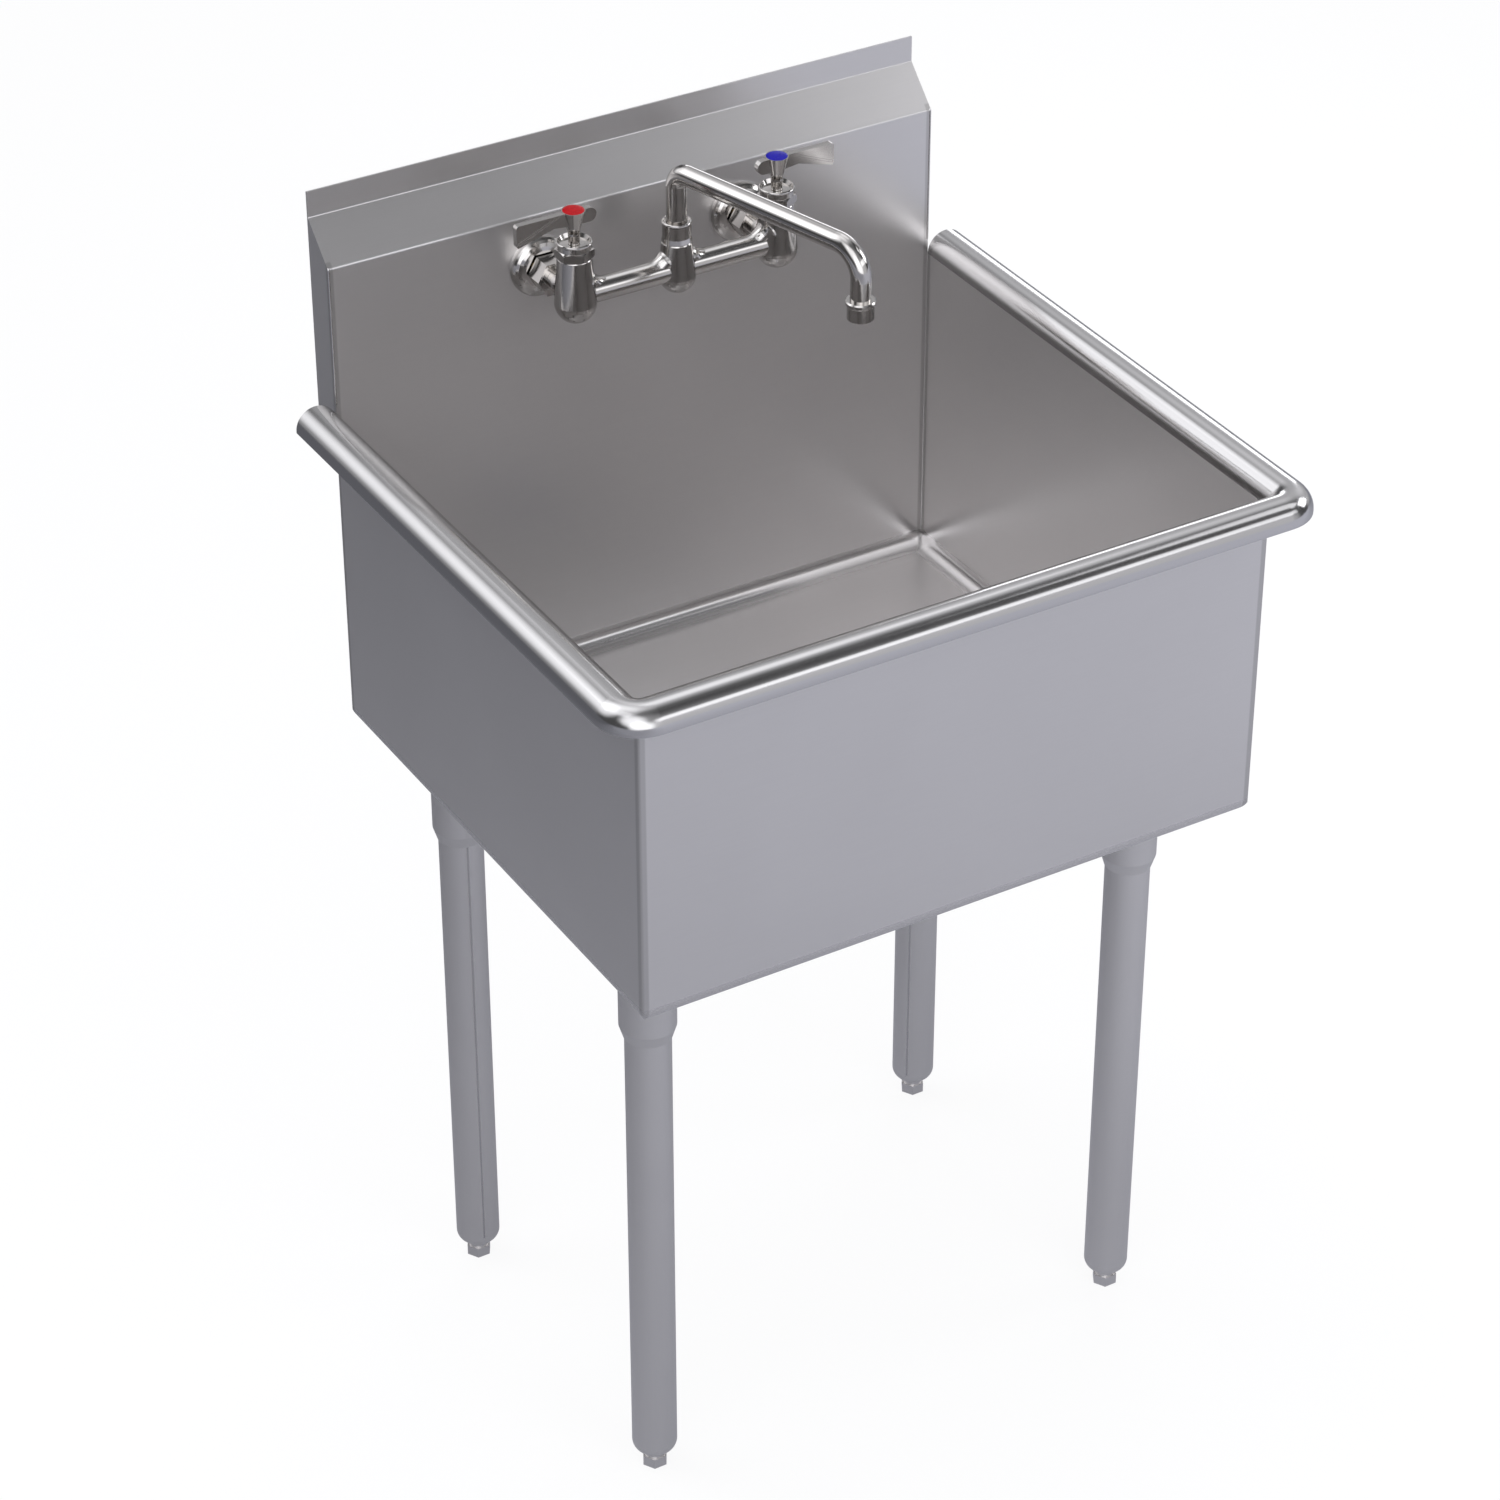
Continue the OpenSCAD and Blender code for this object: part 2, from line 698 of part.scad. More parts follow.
// A ceramic cartridge: its barrel sits in the valve body, its head under the bonnet
module cartridge(side) {
    color(BRASS) at_valve(side) difference() {
        union() {
            translate([0, 0, cartridge_low + waterway_r + 4.5])
                cylinder(r = cartridge_r, h = valve_top - cartridge_low - waterway_r - 4.5);
            translate([0, 0, valve_top]) cylinder(r = cartridge_head_r, h = cartridge_head_h);
        }
        translate([0, 0, valve_top - 12]) cylinder(r = stem_pin_r + fit_c, h = 12 + cartridge_head_h + past);
    }
}

module cartridge_left() { cartridge(-1); }
module cartridge_right() { cartridge(1); }

// A bonnet nut: a hexagon for the spanner, then a rolled ring round a dished top
module bonnet(side) {
    ring = bonnet_ring_h / 2;
    dish_z = bonnet_top - bonnet_dish;
    color(CHROME) at_valve(side) difference() {
        union() {
            translate([0, 0, valve_top]) rotate([0, 0, 30]) intersection() {
                cylinder(r = bonnet_hex_r, h = bonnet_hex_h, $fn = 6);
                rotate_extrude() polygon([
                    [0, 0], [bonnet_hex_r - 1.8, 0], [bonnet_hex_r, 1.2], [bonnet_hex_r, bonnet_hex_h - 1.6],
                    [bonnet_hex_r - 2.4, bonnet_hex_h], [0, bonnet_hex_h]
                ]);
            }
            rotate_extrude() polygon(concat(
                [[0, valve_top + 1], [bonnet_r, valve_top + 1], [bonnet_r, bonnet_top - bonnet_ring_h]],
                arc([bonnet_ring_r - ring, bonnet_top - ring], ring, -90, 90, 8),
                [[bonnet_r - 2.5, dish_z], [0, dish_z]]
            ));
        }
        translate([0, 0, valve_top - past])
            cylinder(r = cartridge_head_r + slip_c, h = dish_z - 4 - valve_top + past);
        translate([0, 0, valve_top]) cylinder(r = stem_pin_r + 1, h = bonnet_h + past);
    }
}

module bonnet_left() { bonnet(-1); }
module bonnet_right() { bonnet(1); }

// The stem turns in the cartridge and carries the handle
module stem(side) {
    low = valve_top - 11.5;
    color(BRASS) at_valve(side) difference() {
        translate([0, 0, low]) cylinder(r = stem_pin_r, h = stem_top - low);
        translate([0, 0, stem_top - 10]) cylinder(r = screw_shank_r, h = 10 + past);
    }
}

module stem_left() { stem(-1); }
module stem_right() { stem(1); }

// The lever's side view: u runs out from the axis, v down from the hub's top
module lever_outline() {
    corner = 2.5;
    tail = (hub_flare_h * 0.65 - 1) / 2;
    polygon(concat(
        [[0, -0.4]],
        arc([lever_len - corner, -0.4 - corner], corner, 90, 0, 4),
        arc([lever_len - corner, -lever_tip_h + corner], corner, 0, -70, 4),
        [[lever_len * 0.36, -hub_flare_h * 0.53], [hub_neck_r, -hub_flare_h * 0.62], [0, -hub_flare_h * 0.65]]
    ));
    polygon(concat([[0, -0.4]], arc([-lever_tail + tail, -0.4 - tail], tail, 90, 270, 12), [[0, -0.4 - 2 * tail]]));
}

// A wing lever on a flared hub; two grooves run across each face of the wing
module handle(side) {
    groove_len = lever_len - hub_r - 4;
    slant = atan2(lever_tip_h - 4, groove_len);
    color(CHROME) at_valve(side) difference() {
        union() {
            translate([0, 0, hub_low]) cylinder(r = hub_neck_r, h = hub_neck_h);
            translate([0, 0, hub_low + hub_neck_h]) cylinder(r1 = hub_neck_r, r2 = hub_r, h = hub_flare_h);
            translate([0, lever_t / 2, hub_top]) rotate([90, 0, 0])
                linear_extrude(lever_t) mirror([side < 0 ? 1 : 0, 0]) lever_outline();
        }
        for (face = [-1, 1], step = [0, 5])
            translate([side * (hub_r + 6 + step), face * lever_t / 2, hub_top - 2.5])
                rotate([0, side * slant, 0]) translate([side * groove_len / 2, 0, 0])
                    cube([groove_len, 1.2, 1.4], center = true);
        translate([0, 0, hub_top - index_sink]) cylinder(r = index_r + fit_c, h = index_sink + past);
        translate([0, 0, screw_seat]) cylinder(r = screw_head_r + 0.3, h = hub_h);
        translate([0, 0, hub_low - past]) cylinder(r = stem_pin_r + fit_c / 2, h = stem_top - hub_low + past);
        translate([0, 0, stem_top - past]) cylinder(r = screw_shank_r + 0.3, h = hub_h);
    }
}

module handle_left() { handle(-1); }
module handle_right() { handle(1); }

module handle_screw(side) {
    color(BRIGHT) at_valve(side) difference() {
        union() {
            translate([0, 0, screw_seat]) cylinder(r = screw_head_r, h = screw_head_h);
            translate([0, 0, screw_seat - screw_len + 3]) cylinder(r = screw_shank_r - fit_c, h = screw_len - 2);
        }
        for (a = [0, 90]) translate([0, 0, screw_seat + screw_head_h]) rotate([0, 0, a])
            cube([4.4, 0.9, 3], center = true);
    }
}

module handle_screw_left() { handle_screw(-1); }
module handle_screw_right() { handle_screw(1); }

// A domed colour index that snaps into the hub's top
module index(side, tint) {
    low = hub_top - index_sink;
    color(tint) at_valve(side) rotate_extrude() polygon(concat(
        [[0, low], [index_r, low]],
        [for (a = [0:15:90]) [index_r * cos(a), low + index_sink + index_crown * sin(a)]]
    ));
}

module index_hot() { index(-1, HOT); }
module index_cold() { index(1, COLD); }

// Places a wall fitting's pieces on its inlet axis, with z running back from the faucet to the wall
module at_inlet(side) {
    translate([side * valve_x, face_y, faucet_z]) rotate([-90, 0, 0]) children();
}

// A domed cover plate on the backsplash
module wall_flange(side) {
    color(CHROME) at_inlet(side) rotate_extrude() polygon(concat(
        [[inlet_collar_r + slip_c, 0], [flange_r, 0], [flange_r, -2]],
        [for (a = [15:15:75]) [
            inlet_collar_r + 2 + (flange_r - inlet_collar_r - 2) * cos(a),
            -2 - (flange_t - 2) * sin(a)
        ]],
        [[inlet_collar_r + 2, -flange_t], [inlet_collar_r + slip_c, -flange_t]]
    ));
}

module wall_flange_left() { wall_flange(-1); }
module wall_flange_right() { wall_flange(1); }

// The union nut draws the faucet's inlet collar onto the shank
module coupling_nut(side) {
    color(CHROME) at_inlet(side) translate([0, 0, -nut_front]) difference() {
        union() {
            translate([0, 0, 1.5]) cylinder(r = nut_r, h = nut_len - 1.5, $fn = 6);
            cylinder(r = nut_r * 0.84, h = nut_len);
        }
        translate([0, 0, -past]) cylinder(r = inlet_r + slip_c, h = nut_len);
        translate([0, 0, nut_shoulder]) cylinder(r = inlet_collar_r + slip_c, h = nut_len);
    }
}

module coupling_nut_left() { coupling_nut(-1); }
module coupling_nut_right() { coupling_nut(1); }

// A hollow shank from the union nut through the backsplash to the supply pipe
module inlet_shank(side) {
    color(BRASS) at_inlet(side) rotate_extrude() polygon([
        [shank_bore_r, -collar_back], [inlet_collar_r, -collar_back],
        [inlet_collar_r, -shank_head_back], [shank_body_r, -shank_head_back],
        [shank_body_r, shank_body_end], [shank_r, shank_body_end],
        [shank_r, shank_end - 1.5], [shank_r - 1.5, shank_end], [shank_bore_r, shank_end]
    ]);
}

module inlet_shank_left() { inlet_shank(-1); }
module inlet_shank_right() { inlet_shank(1); }

module shank_washers() {
    color(FIBRE) for (side = [-1, 1])
        at_inlet(side) translate([0, 0, sheet_t]) difference() {
            cylinder(r = locknut_r + 1.5, h = washer_t);
            translate([0, 0, -past]) cylinder(r = shank_body_r + slip_c, h = washer_t + 2 * past);
        }
}

module shank_locknuts() {
    color(BRASS) for (side = [-1, 1])
        at_inlet(side) translate([0, 0, sheet_t + washer_t]) difference() {
            cylinder(r = locknut_r, h = locknut_t, $fn = 6);
            translate([0, 0, -past]) cylinder(r = shank_body_r + 0.02, h = locknut_t + 2 * past);
        }
}

// The spout's own frame: x runs out along its arm, with z = 0 on the bridge's axis
module at_spout() {
    at_faucet() rotate([0, 0, spout_swing - 90]) children();
}

// The spout's path: riser, tight bend, level arm, wide bend and the drop to the outlet
module spout_path(r, low, tip) {
    translate([0, 0, low]) cylinder(r = r, h = arm_h - riser_bend_r - low);
    translate([riser_bend_r, 0, arm_h - riser_bend_r]) rotate([90, 0, 0]) rotate([0, 0, 90])
        rotate_extrude(angle = 90) translate([riser_bend_r, 0]) circle(r);
    translate([riser_bend_r, 0, arm_h]) rotate([0, 90, 0]) cylinder(r = r, h = arm_len);
    translate([spout_reach - outlet_bend_r, 0, outlet_top]) rotate([90, 0, 0])
        rotate_extrude(angle = 90) translate([outlet_bend_r, 0]) circle(r);
    translate([spout_reach, 0, tip]) cylinder(r = r, h = outlet_top - tip);
}

// The spout tube, with grooves for its seals and a thread for the aerator
module spout() {
    color(CHROME) at_spout() difference() {
        spout_path(spout_r, riser_low + 1, spout_tip);
        spout_path(spout_in_r, riser_low, spout_tip - past);
        for (z = [seal_low, seal_high]) translate([0, 0, z]) difference() {
            cylinder(r = spout_r + past, h = seal_w);
            cylinder(r = spout_r - seal_depth, h = seal_w);
        }
    }
}

module spout_seals() {
    color(RUBBER) at_spout() for (z = [seal_low, seal_high])
        translate([0, 0, z + 0.1]) difference() {
            cylinder(r = spout_r + fit_c / 2, h = seal_w - 0.2);
            translate([0, 0, -past]) cylinder(r = spout_r - seal_depth + 0.02, h = seal_w + 2 * past);
        }
}

// The packing nut that holds the spout in the centre body, with a ring round its dished top
module spout_nut() {
    bore = spout_r + free_c;
    ring = spout_nut_ring_h / 2;
    color(CHROME) at_faucet() translate([0, 0, centre_top]) rotate_extrude() polygon(concat(
        [[bore, 0], [centre_top_r - 0.6, 0], [centre_top_r - 0.2, 0.6], [spout_nut_r, 5],
         [spout_nut_r, spout_nut_h - spout_nut_ring_h]],
        arc([spout_nut_ring_r - ring, spout_nut_h - ring], ring, -90, 90, 8),
        [[bore + 1, spout_nut_h - spout_nut_dish], [bore, spout_nut_h - spout_nut_dish]]
    ));
}

// The aerator's housing screws onto the spout's end, with a ring at its top
module aerator_housing() {
    low = aerator_top - aerator_h;
    seat = spout_tip - 2;
    color(CHROME) at_spout() translate([spout_reach, 0, 0]) rotate_extrude() polygon([
        [spout_r + 0.02, aerator_top], [aerator_ring_r - 1, aerator_top],
        [aerator_ring_r, aerator_top - 1.2], [aerator_ring_r, aerator_top - aerator_ring_h + 1],
        [aerator_ring_r - 1.2, aerator_top - aerator_ring_h], [aerator_r, aerator_top - aerator_ring_h - 1],
        [aerator_r, low + 0.6], [aerator_r - 0.6, low], [spout_r - 1.2, low], [spout_r - 1.2, low + 1.2],
        [screen_r + 0.02, low + 1.2], [screen_r + 0.02, seat], [spout_r + 0.02, seat]
    ]);
}

module aerator_seal() {
    color(RUBBER) at_spout() translate([spout_reach, 0, spout_tip - 2]) difference() {
        cylinder(r = spout_r, h = 2);
        translate([0, 0, -past]) cylinder(r = spout_in_r - 1, h = 2 + 2 * past);
    }
}

// A drilled disc that breaks the water into fine streams
module aerator_screen() {
    low = aerator_top - aerator_h + 1.2;
    height = spout_tip - 2 - low;
    color(NYLON) at_spout() translate([spout_reach, 0, low]) difference() {
        cylinder(r = screen_r, h = height);
        translate([0, 0, 2]) cylinder(r = screen_r - 1.6, h = height);
        for (a = [0:60:300]) rotate([0, 0, a])
            translate([3.4, 0, -past]) cylinder(r = 1, h = 4);
        for (a = [0:30:330]) rotate([0, 0, a])
            translate([6.4, 0, -past]) cylinder(r = 0.9, h = 4);
        translate([0, 0, -past]) cylinder(r = 1, h = 4);
    }
}

bowl();
rolled_rim();
rim_end_plates();
backsplash();
splash_end_left();
splash_end_right();
socket_front_left();
socket_front_right();
socket_back_left();
socket_back_right();
socket_set_screws();
leg_front_left();
leg_front_right();
leg_back_left();
leg_back_right();
foot_bushes();
foot_front_left();
foot_front_right();
foot_back_left();
foot_back_right();
drain_body();
drain_gasket();
drain_slip_ring();
drain_locknut();
tail_nut();
tailpiece();
strainer_basket();
basket_stopper();
basket_post();
faucet_body();
wall_flange_left();
wall_flange_right();
coupling_nut_left();
coupling_nut_right();
inlet_shank_left();
inlet_shank_right();
shank_washers();
shank_locknuts();
cartridge_left();
cartridge_right();
bonnet_left();
bonnet_right();
stem_left();
stem_right();
handle_left();
handle_right();
handle_screw_left();
handle_screw_right();
index_hot();
index_cold();
spout();
spout_seals();
spout_nut();
aerator_housing();
aerator_seal();
aerator_screen();
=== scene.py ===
"""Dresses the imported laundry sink: its finishes, weld beads, stage and camera."""

from math import cos, pi, radians, sin, tan

import bpy
import numpy as np
from mathutils import Matrix, Vector


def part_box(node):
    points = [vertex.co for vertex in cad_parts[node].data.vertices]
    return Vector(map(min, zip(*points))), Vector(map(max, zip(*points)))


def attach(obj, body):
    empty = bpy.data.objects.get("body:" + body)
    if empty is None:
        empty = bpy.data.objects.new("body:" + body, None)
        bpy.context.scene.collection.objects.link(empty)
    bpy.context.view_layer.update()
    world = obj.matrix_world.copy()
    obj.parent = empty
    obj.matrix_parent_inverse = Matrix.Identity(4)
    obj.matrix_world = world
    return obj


bl_info = {
    "name": "Laundry sink dressing",
    "version": (1, 0, 0),
    "blender": (4, 5, 0),
    "location": "3D View > Sidebar > Sink",
    "description": "Finishes, fine pieces, stage and camera for a stainless laundry sink",
    "category": "Object",
}

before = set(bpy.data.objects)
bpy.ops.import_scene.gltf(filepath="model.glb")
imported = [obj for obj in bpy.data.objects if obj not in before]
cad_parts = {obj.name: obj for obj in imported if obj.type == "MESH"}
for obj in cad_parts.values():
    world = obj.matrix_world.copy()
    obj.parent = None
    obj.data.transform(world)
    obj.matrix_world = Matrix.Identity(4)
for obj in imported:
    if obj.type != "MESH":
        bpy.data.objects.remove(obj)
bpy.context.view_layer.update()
CORNERS = ("front_left", "front_right", "back_left", "back_right")
FACE_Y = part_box("backsplash")[0][1]
RIM_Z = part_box("rolled_rim")[1][2]
HALF_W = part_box("backsplash")[1][0]
SHEET = HALF_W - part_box("splash_end_right")[0][0]
FRONT_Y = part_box("bowl")[0][1] + SHEET
FLOOR_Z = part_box("bowl")[0][2] + SHEET
UNDER_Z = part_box("bowl")[0][2]
COVE = 0.015
BACK_EDGE = Vector((0.0, FACE_Y, RIM_Z))


# Surfaces worked out with numpy

def add_piece(name, points, faces, body, smooth_deg=38.0):
    """Puts points (n by 3) and faces in a mesh object at the origin, shaded smooth up to an angle."""
    mesh = bpy.data.meshes.new(name)
    mesh.from_pydata(np.asarray(points, float).tolist(), [], [list(map(int, f)) for f in faces])
    mesh.validate()
    mesh.polygons.foreach_set("use_smooth", np.ones(len(mesh.polygons), bool))
    mesh.set_sharp_from_angle(angle=radians(smooth_deg))
    piece = bpy.data.objects.new(name, mesh)
    bpy.context.scene.collection.objects.link(piece)
    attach(piece, body)
    return piece


def grid_faces(rows, cols, close_rows=False, close_cols=False):
    """Quads between neighbours of a rows by cols grid of points, wrapped round where it is closed."""
    i = np.arange(rows if close_rows else rows - 1)
    j = np.arange(cols if close_cols else cols - 1)
    i, j = np.meshgrid(i, j, indexing="ij")
    a = i * cols + j
    b = i * cols + (j + 1) % cols
    c = ((i + 1) % rows) * cols + (j + 1) % cols
    d = ((i + 1) % rows) * cols + j
    return np.stack([a, b, c, d], -1).reshape(-1, 4).tolist()


def sweep_bead(path, across, outward, half_width, half_height, sides=10, closed=False, ripple=0.0,
               pitch=1.0):
    """Points and faces of a bead carried along a path.

    At path point i the section is an ellipse: point = path + half_width * cos(a) * across +
    half_height * sin(a) * outward, with a going once round. Both halves swell and shrink together by
    1 + ripple * cos(2 pi * length / pitch). An open bead is closed by a fan at each end.
    """
    path, across, outward = (np.asarray(v, float) for v in (path, across, outward))
    steps = np.linalg.norm(np.roll(path, -1, 0) - path, axis=1)
    length = np.concatenate([[0.0], np.cumsum(steps)[:-1]])
    swell = (1.0 + ripple * np.cos(2.0 * pi * length / pitch))[:, None, None]
    a = np.linspace(0.0, 2.0 * pi, sides, endpoint=False)[None, :, None]
    ring = half_width * np.cos(a) * across[:, None, :] + half_height * np.sin(a) * outward[:, None, :]
    points = (path[:, None, :] + swell * ring).reshape(-1, 3)
    rows = len(path)
    faces = grid_faces(rows, sides, close_rows=closed, close_cols=True)
    if not closed:
        points = np.concatenate([points, path[:1], path[-1:]])
        around = np.arange(sides)
        following = (around + 1) % sides
        first = np.stack([np.full(sides, rows * sides), following, around], -1)
        last = np.stack([np.full(sides, rows * sides + 1), (rows - 1) * sides + around,
                         (rows - 1) * sides + following], -1)
        faces += first.tolist() + last.tolist()
    return points, faces


def outward_faces(points, faces):
    """Turns every face round when the closed surface they make encloses a negative volume."""
    points = np.asarray(points, float)
    volume = 0.0
    for face in faces:
        corner = points[face]
        for k in range(1, len(face) - 1):
            volume += np.dot(corner[0], np.cross(corner[k], corner[k + 1]))
    return [face[::-1] for face in faces] if volume < 0.0 else faces


def join_parts(parts):
    """Puts several point and face lists into one, with the faces' numbers moved on."""
    points, faces, first = [], [], 0
    for part_points, part_faces in parts:
        faces += [[index + first for index in face] for face in outward_faces(part_points, part_faces)]
        points.append(np.asarray(part_points, float))
        first += len(part_points)
    return np.concatenate(points), faces


# Node trees

class Nodes:
    """A short way to place nodes in a tree and join them."""

    def __init__(self, tree):
        self.tree = tree

    def add(self, kind, **values):
        node = self.tree.nodes.new(kind)
        for key, value in values.items():
            setattr(node, key, value)
        return node

    def put(self, node, socket, value):
        target = node.inputs[socket]
        if isinstance(value, bpy.types.NodeSocket):
            self.tree.links.new(value, target)
        else:
            target.default_value = value
        return node

    def math(self, operation, a, b=0.0, clamp=False):
        node = self.add("ShaderNodeMath", operation=operation, use_clamp=clamp)
        self.put(node, 0, a)
        self.put(node, 1, b)
        return node.outputs[0]

    def mix_colour(self, factor, a, b):
        node = self.add("ShaderNodeMix", data_type="RGBA")
        self.put(node, 0, factor)
        self.put(node, 6, a)
        self.put(node, 7, b)
        return node.outputs[2]

    def span(self, value, low, high, to_low=0.0, to_high=1.0, smooth=True):
        node = self.add("ShaderNodeMapRange", interpolation_type="SMOOTHSTEP" if smooth else "LINEAR")
        for socket, number in zip((0, 1, 2, 3, 4), (value, low, high, to_low, to_high)):
            self.put(node, socket, number)
        return node.outputs[0]

    def axes(self, vector):
        node = self.add("ShaderNodeSeparateXYZ")
        self.put(node, 0, vector)
        return node.outputs[0], node.outputs[1], node.outputs[2]


def rgba(colour):
    return (colour[0], colour[1], colour[2], 1.0)


def new_group(name, inputs, outputs):
    """A node group with the named sockets; returns it, its Nodes and its input and output nodes."""
    group = bpy.data.node_groups.new(name, "ShaderNodeTree")
    for label, kind, value in inputs:
        socket = group.interface.new_socket(name=label, in_out="INPUT", socket_type=kind)
        if value is not None:
            socket.default_value = value
    for label, kind in outputs:
        group.interface.new_socket(name=label, in_out="OUTPUT", socket_type=kind)
    nodes = Nodes(group)
    return group, nodes, nodes.add("NodeGroupInput"), nodes.add("NodeGroupOutput")


def brushed_grain_group():
    """Fine scratches: noise stretched along one axis, with a second, coarser layer."""
    if "Brushed grain" in bpy.data.node_groups:
        return bpy.data.node_groups["Brushed grain"]
    group, n, gin, gout = new_group(
        "Brushed grain",
        [("Vector", "NodeSocketVector", None), ("Density", "NodeSocketVector", (40.0, 1500.0, 1500.0))],
        [("Grain", "NodeSocketFloat"), ("Height", "NodeSocketFloat")])
    scaled = n.add("ShaderNodeVectorMath", operation="MULTIPLY")
    n.put(scaled, 0, gin.outputs["Vector"])
    n.put(scaled, 1, gin.outputs["Density"])
    fine = n.add("ShaderNodeTexNoise")
    n.put(fine, "Vector", scaled.outputs[0])
    n.put(fine, "Scale", 1.0)
    n.put(fine, "Detail", 3.0)
    coarse = n.add("ShaderNodeTexNoise")
    n.put(coarse, "Vector", scaled.outputs[0])
    n.put(coarse, "Scale", 0.18)
    n.put(coarse, "Detail", 2.0)
    fine_part = n.math("MULTIPLY", fine.outputs[0], 0.65)
    coarse_part = n.math("MULTIPLY", coarse.outputs[0], 0.35)
    both = n.math("ADD", fine_part, coarse_part)
    n.put(gout, "Grain", n.span(both, 0.3, 0.7))
    n.put(gout, "Height", both)
    return group


def handled_metal_group():
    """Slow, soft clouds from wiping and handling: two sizes of noise."""
    if "Handled metal" in bpy.data.node_groups:
        return bpy.data.node_groups["Handled metal"]
    group, n, gin, gout = new_group(
        "Handled metal",
        [("Vector", "NodeSocketVector", None), ("Scale", "NodeSocketFloat", 6.0)],
        [("Clouds", "NodeSocketFloat"), ("Smears", "NodeSocketFloat")])
    clouds = n.add("ShaderNodeTexNoise")
    n.put(clouds, "Vector", gin.outputs["Vector"])
    n.put(clouds, "Scale", gin.outputs["Scale"])
    n.put(clouds, "Detail", 2.0)
    n.put(clouds, "Distortion", 0.4)
    smears = n.add("ShaderNodeTexNoise")
    n.put(smears, "Vector", gin.outputs["Vector"])
    n.put(smears, "Scale", n.math("MULTIPLY", gin.outputs["Scale"], 5.0))
    n.put(smears, "Detail", 4.0)
    n.put(smears, "Roughness", 0.65)
    n.put(gout, "Clouds", n.span(clouds.outputs[0], 0.3, 0.7))
    n.put(gout, "Smears", n.span(smears.outputs[0], 0.35, 0.75))
    return group


def screw_thread_group():
    """A screw's ridges: a triangle wave of height along the axis plus the turn about it, over the pitch."""
    if "Screw thread" in bpy.data.node_groups:
        return bpy.data.node_groups["Screw thread"]
    group, n, gin, gout = new_group(
        "Screw thread",
        [("Vector", "NodeSocketVector", None), ("Centre", "NodeSocketVector", (0.0, 0.0, 0.0)),
         ("Pitch", "NodeSocketFloat", 0.002), ("Reach", "NodeSocketFloat", 0.008),
         ("Start", "NodeSocketFloat", 0.0)],
        [("Height", "NodeSocketFloat")])
    moved = n.add("ShaderNodeVectorMath", operation="SUBTRACT")
    n.put(moved, 0, gin.outputs["Vector"])
    n.put(moved, 1, gin.outputs["Centre"])
    x, y, z = n.axes(moved.outputs[0])
    turn = n.math("DIVIDE", n.math("ARCTAN2", y, x), 2.0 * pi)
    wave = n.math("PINGPONG", n.math("ADD", n.math("DIVIDE", z, gin.outputs["Pitch"]), turn), 0.5)
    radius = n.math("SQRT", n.math("ADD", n.math("MULTIPLY", x, x), n.math("MULTIPLY", y, y)))
    inside = n.span(n.math("SUBTRACT", radius, gin.outputs["Reach"]), 0.0001, 0.0004, 1.0, 0.0)
    above = n.span(n.math("SUBTRACT", z, gin.outputs["Start"]), 0.0, 0.001)
    mask = n.math("MULTIPLY", inside, above)
    n.put(gout, "Height", n.math("MULTIPLY", n.math("MULTIPLY", wave, 2.0), mask))
    return group


def coves_and_corner_shade_group():
    """Masks for the bowl's polished coves, and for its upright corners, where the steel gets a painted
    shade.

    With a the distance from the side walls' plane, b that from the nearer of the front and back walls, and c
    the height over the floor, Coves is near(c) * near(min(a, b)) and Uprights is near(a) * near(b).
    """
    if "Cove polish and corner shade" in bpy.data.node_groups:
        return bpy.data.node_groups["Cove polish and corner shade"]
    group, n, gin, gout = new_group(
        "Cove polish and corner shade",
        [("Vector", "NodeSocketVector", None), ("Cove", "NodeSocketFloat", COVE),
         ("Corner", "NodeSocketFloat", 0.005)],
        [("Coves", "NodeSocketFloat"), ("Uprights", "NodeSocketFloat")])
    x, y, z = n.axes(gin.outputs["Vector"])
    side = n.math("ABSOLUTE", n.math("SUBTRACT", HALF_W, n.math("ABSOLUTE", x)))
    end = n.math("MINIMUM", n.math("ABSOLUTE", n.math("SUBTRACT", y, FACE_Y)),
                 n.math("ABSOLUTE", n.math("SUBTRACT", y, FRONT_Y)))
    rise = n.math("ABSOLUTE", n.math("SUBTRACT", z, FLOOR_Z))

    def near(distance, reach):
        return n.span(n.math("DIVIDE", distance, reach), 0.75, 1.1, 1.0, 0.0)

    cove = n.math("MULTIPLY", near(rise, gin.outputs["Cove"]),
                  near(n.math("MINIMUM", side, end), gin.outputs["Cove"]))
    # Mask for the painted shade that darkens the upright corners
    upright = n.math("MULTIPLY", near(side, gin.outputs["Corner"]), near(end, gin.outputs["Corner"]))
    n.put(gout, "Coves", cove)
    n.put(gout, "Uprights", upright)
    return group


def start_material(name):
    """A new material with its Principled shader, its node helper and its Object coordinates."""
    material = bpy.data.materials.new(name)
    material.use_nodes = True
    tree = material.node_tree
    tree.nodes.clear()
    n = Nodes(tree)
    out = n.add("ShaderNodeOutputMaterial")
    shader = n.add("ShaderNodeBsdfPrincipled")
    n.put(out, "Surface", shader.outputs[0])
    coords = n.add("ShaderNodeTexCoord").outputs["Object"]
    return material, n, shader, coords


def use_group(n, group, **values):
    node = n.add("ShaderNodeGroup", node_tree=group)
    for key, value in values.items():
        n.put(node, key.replace("_", " "), value)
    return node


